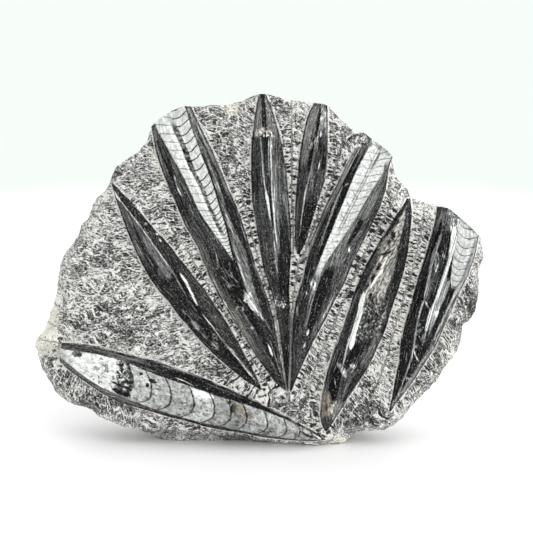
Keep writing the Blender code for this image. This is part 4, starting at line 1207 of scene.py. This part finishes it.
fossil.veins((([(436.8, 251), (436.8, 260), (435.8, 272)], 4.2, 0.62),
              ([(441.5, 233), (438.5, 243), (433.5, 254), (431, 266), (428.5, 282), (424.5, 300)],
               3.0, 0.46),
              ([(424, 300), (420, 312), (417, 325), (415, 336), (414, 348), (411, 360),
                (406, 374), (400, 390), (395, 402)], 1.7, 0.60),
              ([(424, 299), (427, 305), (430, 310)], 1.8, 0.55),
              ([(414, 350), (416, 357), (419, 362)], 1.4, 0.70),
              ([(405, 377), (409, 379), (412, 377.5)], 1.5, 0.66),
              ([(413, 346), (418, 347.5)], 1.6, 0.55), ([(423, 343), (426, 340)], 1.6, 0.5),
              ([(407, 376), (406, 381)], 1.0, 0.6)), 4.0)
dots = 0.6 * dapple(x, y, 1.8, 4)
fossil.lay(fossil.patch(436.5, 262, 3.5, 10) * smooth((0.10 - dots) / 0.2), 0.26, most=0.8)
mottled = np.maximum(fossil.patch(445, 256, 3.6, 7),
                     fossil.zone([(417, 315), (415, 345)], [(429, 315), (423, 345)], 2.0,
                                 ends=(318, 350), fade=6))
fossil.lay(mottled * smooth((dots - 0.05) / 0.2), 0.50, most=0.8)
fossil.finish(chambered_stone)


# The centre fossil
# A slim shell ground to three facets, with calcite threads along their edges. Its upper end runs
# over the rim of the plate, painted grey as a reflection above a band of crust that the wheel
# didn't reach.
black_stone = ground_stone("ground_black_limestone")
edges = FOSSILS["orthoceras_centre"]
left_thread = [(262, 96), (261, 118), (260.5, 137), (262, 155), (263, 170), (264.5, 185),
               (267, 197), (269.5, 210), (271.5, 222), (274, 235), (276, 250), (279, 275),
               (283, 310), (287, 388)]
right_thread = [(265, 96), (268, 118), (269, 137), (270.5, 155), (271.5, 172), (272, 188),
                (272.2, 204), (273, 216), (274.5, 230), (276.5, 246), (280, 275), (284, 310),
                (287.5, 388)]
fossil = Fossil("orthoceras_centre", [(0.88, left_thread), (1.0, right_thread)], past_rim=7.0)
x, y = fossil.x, fossil.y
fossil.lay(fossil.zone(edges[0], left_thread, 1.2), 0.22)
fossil.lay(fossil.zone(left_thread, right_thread, 1.0), 0.17)
fossil.lay(fossil.zone(right_thread, edges[1], 1.2), 0.28 - 0.15 * smooth((y - 205) / 30))
fossil.lay(fossil.zone(aside(edges[1], -5.5), edges[1], 2.0, ends=(136, 200), fade=10), 0.20)
fossil.lay(fossil.zone([(273, 160), (273, 200), (276, 235)], [(277, 160), (278, 200), (280, 235)],
                       1.5, ends=(155, 262), fade=14), 0.38)
fossil.lay(fossil.stroke([(282, 225), (282, 262), (281, 282), (283, 300)], 4.0, 2.0, 12), 0.08)
fossil.veins(((left_thread[2:10], 1.4, 0.80),
              ([(265.5, 190), (267.5, 200), (269.5, 212), (270.5, 220)], 2.6, 0.94),
              ([(270.8, 138), (271.2, 155), (271.3, 172), (272, 190), (273.5, 208), (275, 228),
                (277, 244)], 1.5, 0.84), ([(268.8, 138), (269.0, 160), (269.3, 178)], 1.3, 0.66),
              ([(274, 240), (275.5, 256), (278, 279)], 1.6, 0.50),
              ([(276.5, 252), (277.5, 262)], 2.0, 0.62),
              ([(289.5, 300), (289.6, 340), (289, 385)], 1.2, 0.42),
              ([(283.5, 160), (286, 190), (289.5, 240)], 1.0, 0.50)), 6.0)
fossil.lay(fossil.stroke([(269.8, 196), (270.4, 210), (272.3, 224), (273, 232)], 1.2, 0.8, 4), 0.05)
dots = 0.6 * dapple(x, y, 1.3, 14)
netted = np.maximum(fossil.patch(280, 303, 5.5, 6.5), fossil.patch(273, 262, 4.0, 14.0, 5))
fossil.lay(netted * smooth((dots - 0.10) / 0.16), 0.72, most=0.85)
# Painted reflection: the upper end, where it rolls back over the rim, is grey
painted_sheen_end = smooth((136.0 - y) / 8.0)
fossil.lay(painted_sheen_end, 0.40)
fossil.lay(painted_sheen_end * fossil.zone([(261, 96), (262.5, 134)], [(265, 96), (267, 134)], 1.4), 0.14)
fossil.lay(painted_sheen_end * fossil.zone([(265, 96), (268, 134)], [(270, 96), (274, 134)], 1.4), 0.38)
crust = (smooth((y - 125 - 5.0 * dots - 0.4 * np.abs(x - 262)) / 4.0)
         * smooth((137.5 + 3.0 * dots - y) / 2.5))
crust = crust * fossil.zone([(255.5, 120), (254.5, 140)], [(269, 120), (275.5, 140)], 2.0)
fossil.lay(crust, 0.66 + 0.8 * dots, crust=1.0, warm=0.5)
fossil.finish(black_stone)


# The short fossil
# A small shell of black limestone, ground to two facets that meet in one sharp keel. It has a
# painted grey reflection towards its upper end, is black below, and keeps a little crust on its
# left side.
edges = FOSSILS["orthoceras_short"]
keel = [(321, 104), (320.5, 120), (319, 134), (315.5, 150), (312, 165), (309, 178), (306, 190),
        (303.5, 205), (301, 222), (299.5, 236), (298, 252)]
fossil = Fossil("orthoceras_short", [(1.0, keel)], relief=6.5, past_rim=7.0)
x, y = fossil.x, fossil.y
dots = 0.6 * dapple(x, y, 1.5, 8)
# Painted reflection: both facets are grey towards the upper end and fade to black below
fossil.lay(fossil.zone(edges[0], keel, 1.2), 0.42 - 0.17 * smooth((y - 140) / 30))
fossil.lay(fossil.zone(keel, edges[1], 1.2), 0.24 - 0.14 * smooth((y - 192) / 18))
fossil.lay(smooth((134 - y) / 8) * fossil.zone(keel, edges[1], 1.2), 0.44)
fossil.lay(fossil.zone([(318, 141), (319, 150), (321, 160)], [(322, 141), (327, 152), (326, 164)],
                       2.5, ends=(136, 176), fade=9), 0.09)
fossil.lay(fossil.zone([(303, 150), (299, 175)], [(310, 150), (303, 175)], 2.0, ends=(134, 168),
                       fade=10), 0.36)
fossil.veins((([(320, 106), (319.8, 114), (318.5, 122), (317, 130), (315, 139)], 2.6, 0.07),
              ([(313.5, 144), (311.5, 154), (309.5, 165), (308, 174)], 2.6, 0.09),
              ([(321.5, 115), (321, 121)], 2.8, 0.92), ([(321, 131), (320.5, 137)], 2.8, 0.90),
              (keel[2:10], 1.1, 0.60), ([(320, 162), (318, 170)], 1.3, 0.75),
              ([(327.3, 130), (327.6, 150), (327, 165), (324, 180)], 1.2, 0.55),
              ([(325, 108), (325.5, 122), (326, 134)], 1.4, 0.62)), 5.0)
crust = np.maximum(fossil.patch(315, 138.5, 4.5, 5.0, 20), fossil.patch(311, 145, 2.5, 4.5, 20))
fossil.lay(crust, crust=0.9, warm=0.4)
fossil.finish(black_stone)


# The left fossil
# A long dark shell with a white calcite thread along its keel, which opens into a wedge halfway;
# a patch left of it is polished, with a painted blue grey reflection, and a bit of crust is left
# near its upper tip.
edges = FOSSILS["orthoceras_left"]
keel = [(111, 186), (120, 200), (130, 213), (140, 226), (150, 239.5), (157, 250), (162, 257),
        (170, 268), (178, 276), (186, 285), (192, 295), (201, 312), (212, 326), (222, 340),
        (232, 352), (242, 364), (252, 377), (261, 389)]
fossil = Fossil("orthoceras_left", [(1.0, keel)])
x, y = fossil.x, fossil.y
fossil.lay(fossil.zone(edges[0], keel, 1.2), 0.15)
fossil.lay(fossil.zone(aside(edges[0], 1), aside(edges[0], 7), 4.0, ends=(190, 285), fade=20), 0.26)
fossil.lay(fossil.zone(keel, edges[1], 1.2), 0.15)
fossil.lay(fossil.stroke([(167, 261), (176, 273), (186, 289), (196, 306), (207, 322)], 3.4, 2.0,
                         12), 0.05)
fossil.lay(fossil.stroke([(207, 326), (222, 345), (238, 364), (252, 380)], 3.0, 2.0, 12), 0.07)
# Painted reflection: a blue grey patch on the facet left of the keel
patch = fossil.zone([(118, 205), (134, 226), (148, 250), (158, 268)],
                    [(124, 205), (145, 231), (160, 253), (172, 270)], 3.0, ends=(208, 282),
                    fade=14)
fossil.lay(patch, 0.37)
brown = fossil.zone([(178, 270), (194, 287), (204, 306), (218, 328)],
                    [(188, 270), (203, 287), (218, 310), (228, 328)], 3.0, ends=(262, 350),
                    fade=16)
fossil.lay(brown, 0.20, warm=0.22)
fossil.lay(fossil.zone([(113, 196), (117, 208)], [(119, 196), (124, 210)], 2.0, ends=(190, 222),
                       fade=8), 0.27)
fossil.veins(((keel[1:8], 0.9, 0.74),
              ([(170, 268), (176, 277), (181, 287), (187, 297)], 1.1, 0.50),
              ([(180, 273), (186, 282), (190, 290), (194, 299), (198, 306)], 2.3, 0.90),
              (keel[11:17], 1.3, 0.62),
              ([(227, 344), (238, 358), (250, 373), (257, 383)], 1.0, 0.52),
              ([(112, 189), (116, 195), (121, 202)], 2.2, 0.90),
              ([(131, 204), (137, 208), (143, 214)], 1.0, 0.62),
              ([(186, 313), (191, 319)], 1.6, 0.42), ([(112, 183), (122, 192)], 1.4, 0.18),
              ([(176, 281), (186, 297), (197, 312)], 1.0, 0.30)), 5.0, 0.9)
fossil.spots(((139, 251, 8.0, 2.6, 60, 0.42), (202, 329, 7.0, 3.6, 50, 0.06),
              (195, 325, 6.5, 2.4, 50, 0.52), (184, 312, 4.0, 1.4, 50, 0.40),
              (205, 336, 4.0, 1.6, 50, 0.36), (215, 345, 5.0, 2.4, 45, 0.60),
              (214.5, 336.5, 2.6, 2.8, 0, 0.45), (214.5, 336.5, 1.0, 1.2, 0, 0.10),
              (157, 234, 1.4, 1.2, 0, 0.85), (160, 240, 1.8, 1.0, 40, 0.6),
              (168, 276, 2.4, 2.6, 0, 0.40), (146, 224, 1.4, 1.4, 0, 0.5)))
crust = np.maximum(fossil.patch(137, 213, 7.0, 4.0, 45), 0.5 * fossil.patch(147, 225, 5, 3.0, 45))
fossil.lay(crust, crust=0.85)
fossil.finish(black_stone)


# The right fossil
# A broad shell still partly under its brown and cream crust, with a bright calcite wedge down its
# left facet, white crystals near the tip and a cream stained point.
edges = FOSSILS["orthoceras_right"]
left_crest = [(409.5, 200), (401, 215), (393, 232), (383, 256), (375, 275), (366, 292), (361, 305),
              (357, 320), (352, 336), (348, 348), (344, 362), (337, 385), (326, 430)]
right_crest = [(410.5, 201), (404, 222), (399, 242), (397, 258), (394, 275), (390, 295), (384, 318),
               (374, 340), (362, 358), (350, 375), (339, 397), (327, 430)]
fossil = Fossil("orthoceras_right", [(1.0, left_crest), (0.92, right_crest)])
x, y = fossil.x, fossil.y
dots = 0.6 * dapple(x, y, 1.7, 5)
fossil.lay(fossil.zone(edges[0], left_crest, 1.2), 0.22)
fossil.lay(fossil.zone(left_crest, right_crest, 1.2), 0.17)
fossil.lay(fossil.zone(right_crest, edges[1], 1.2), 0.14)
fossil.lay(fossil.stroke([(404, 222), (401, 235), (399, 250), (397, 266), (394, 284), (388, 304)],
                         3.0, 1.6, 10), 0.08)
# Crust: grey cream, with dark brown pits beside a bright ridge
cream = fossil.zone([(404, 210), (392, 230), (381, 247), (377, 262), (369, 278), (364, 290),
                     (362, 298)],
                    [(406, 214), (402, 232), (398, 248), (396, 262), (391, 278), (387, 290),
                     (384, 300)], 2.5, ends=(206, 310), fade=12)
fossil.lay(cream, 0.54, crust=0.80, warm=0.40)
for x0, y0, rx, ry, turn, level, crust, warm in (
        (384, 244, 4.0, 8.0, 35, 0.52, 0.45, 0.6), (391, 267, 3.6, 10, 10, 0.44, 0.15, 0.0),
        (382, 287, 4.6, 8.0, 20, 0.58, 0.55, 0.5), (386, 276, 3.0, 4.0, 0, 0.60, 0.35, 0.4),
        (395, 283, 2.4, 9.0, 12, 0.14, 0.20, 0.0), (390, 295, 4.0, 7.0, 15, 0.16, 0.30, 0.0),
        (393, 236, 1.6, 4.5, 20, 0.10, 0.10, 1.0), (397, 222, 1.5, 3.0, 30, 0.12, 0.10, 0.6),
        (389, 242, 1.8, 2.2, 20, 0.14, 0.10, 1.0), (384, 254, 5.0, 1.5, -18, 0.12, 0.05, 1.0),
        (379, 267, 1.8, 4.0, 25, 0.14, 0.15, 1.0), (373, 277, 1.8, 4.0, 30, 0.15, 0.15, 1.0),
        (367, 287, 1.5, 3.6, 30, 0.16, 0.15, 0.8), (371, 297, 2.4, 3.0, 0, 0.16, 0.20, 0.5),
        (381, 258, 1.6, 2.6, 25, 0.80, 0.20, 0.6), (403, 216, 1.4, 3.0, 20, 0.66, 0.30, 0.2)):
    fossil.lay(fossil.patch(x0, y0, rx, ry, turn), level, crust=crust, warm=warm)
ridge = fossil.stroke([(388, 256), (384, 264), (381, 272), (374.5, 281), (368.5, 289),
                       (362.5, 299)], 1.8, 0.9, 4)
fossil.lay(ridge, 0.92, crust=0.0)
dark_mottle = fossil.zone([(362, 300), (358, 318), (354, 330)],
                          [(388, 300), (386, 318), (380, 330)], 3.0, ends=(296, 345), fade=10)
fossil.lay(dark_mottle, 0.21, crust=0.35)
fossil.lay(dark_mottle * smooth((dots - 0.12) / 0.15), 0.62, most=0.8)
fossil.lay(fossil.zone([(372, 340), (360, 356)], [(382, 340), (372, 358)], 3.0, ends=(328, 372),
                       fade=10), 0.30)
fossil.lay(fossil.zone([(350, 346), (348, 362)], [(361, 340), (359, 364)], 3.0, ends=(340, 366),
                       fade=8), 0.07)
fossil.lay(fossil.zone([(331, 368), (329, 385), (330, 402)], [(341, 372), (340, 386), (337, 402)],
                       2.0, ends=(362, 406), fade=8), 0.08)
fossil.lay(fossil.zone([(342, 378), (338, 392), (336, 405)], [(361, 365), (352, 380), (342, 402)],
                       2.0, ends=(366, 408), fade=8), 0.26)
fossil.veins((([(364, 292), (361.5, 303), (359.5, 314), (356.5, 324), (353.5, 334), (351.5, 344),
                (350.5, 350)], 5.0, 0.97),
              ([(349.5, 336), (347, 348), (344.5, 358), (342.5, 366)], 1.6, 0.84),
              ([(408, 204), (402, 214), (393, 228)], 1.2, 0.40),
              ([(408, 212), (407, 230), (405, 250)], 1.6, 0.24),
              ([(338, 338), (333, 352), (329.5, 364), (327, 374)], 1.1, 0.60),
              ([(375, 355), (366, 371), (357, 385), (348, 398), (342, 406)], 1.1, 0.70),
              ([(356, 352), (351, 372), (342, 400)], 1.2, 0.34),
              ([(333, 373), (337, 364)], 1.1, 0.55), ([(334.5, 378), (336, 388)], 1.4, 0.74),
              ([(346, 372), (351, 367)], 2.0, 0.50)), 6.0)
crystals = np.maximum(fossil.stroke([(337, 363), (341, 367), (344, 373), (346, 378)], 5.0, 1.6, 4),
                      fossil.stroke([(350, 365), (355.5, 367)], 4.6, 1.6, 3))
fossil.lay(crystals, 0.66 + 0.40 * dots, most=0.95)
tip = fossil.zone([(320, 388), (320, 422)], [(328, 386), (332, 402), (332, 418)], 2.5,
                  ends=(386, 422), fade=10)
fossil.lay(tip, 0.44, warm=0.9, crust=0.35)
fossil.lay(fossil.patch(333, 409, 3.6, 6.0, 15), 0.80)
fossil.lay(fossil.patch(326, 408, 1.3, 4.0, 10), 0.24)
fossil.lay(fossil.zone([(334, 402), (332, 420)], [(345, 402), (336, 420)], 2.0, ends=(400, 424),
                       fade=6), 0.42)
fossil.finish(black_stone)


# Floor, light and camera
# A wide sheet of white card, which turns to plain paper further back, under two broad soft
# lights: one high on the right and one overhead.
bpy.ops.mesh.primitive_plane_add(size=1.0)
floor = bpy.context.object
floor.name = "card_floor"
floor.scale = (16.0, 16.0, 1.0)
# Matt card takes soft shadows and gives no reflection
card = new_material("white_card")
tree = card.node_tree
place_at = add(tree, "ShaderNodeNewGeometry")
away = add(tree, "ShaderNodeVectorMath", {"operation": "LENGTH"}, i0=place_at.outputs["Position"])
further = add(tree, "ShaderNodeMapRange", {"interpolation_type": "SMOOTHSTEP"},
              Value=away.outputs["Value"], From_Min=0.62, From_Max=1.0)
paper = add(tree, "ShaderNodeMix", {"data_type": "RGBA"}, i0=further,
            i6=linear("#fafafa"), i7=linear("#d8dfda"))
shader = add(tree, "ShaderNodeBsdfPrincipled", Base_Color=paper.outputs[2], Roughness=0.8)
add(tree, "ShaderNodeOutputMaterial", Surface=shader)
floor.data.materials.append(card)

world = bpy.data.worlds.new("dim_room")
bpy.context.scene.world = world
world.use_nodes = True
sky = world.node_tree.nodes["Background"]
sky.inputs["Color"].default_value = linear("#ffffff")
sky.inputs["Strength"].default_value = 0.66


def broad_light(name, source, strength, spread):
    """A distant lamp that shines from a direction, as soft as a window spread degrees wide."""
    lamp = bpy.data.objects.new(name, bpy.data.lights.new(name, "SUN"))
    bpy.context.scene.collection.objects.link(lamp)
    lamp.data.energy = strength
    lamp.data.angle = math.radians(spread)
    lamp.rotation_euler = (-Vector(source)).to_track_quat("-Z", "Y").to_euler()


broad_light("right_soft", (0.82, -0.50, 0.40), 1.45, 50.0)
broad_light("overhead_soft", (0.0, 0.15, 1.0), 1.6, 90.0)

bpy.context.scene.view_settings.view_transform = "Standard"
camera = bpy.data.objects.new("camera", bpy.data.cameras.new("camera"))
bpy.context.scene.collection.objects.link(camera)
camera.data.lens = VIEW_LENS
camera.data.sensor_width = VIEW_SENSOR
camera.data.clip_end = 50.0
camera.location = EYE * MM
camera.rotation_euler = (math.pi / 2 - VIEW_TILT, 0.0, 0.0)
bpy.context.scene.camera = camera
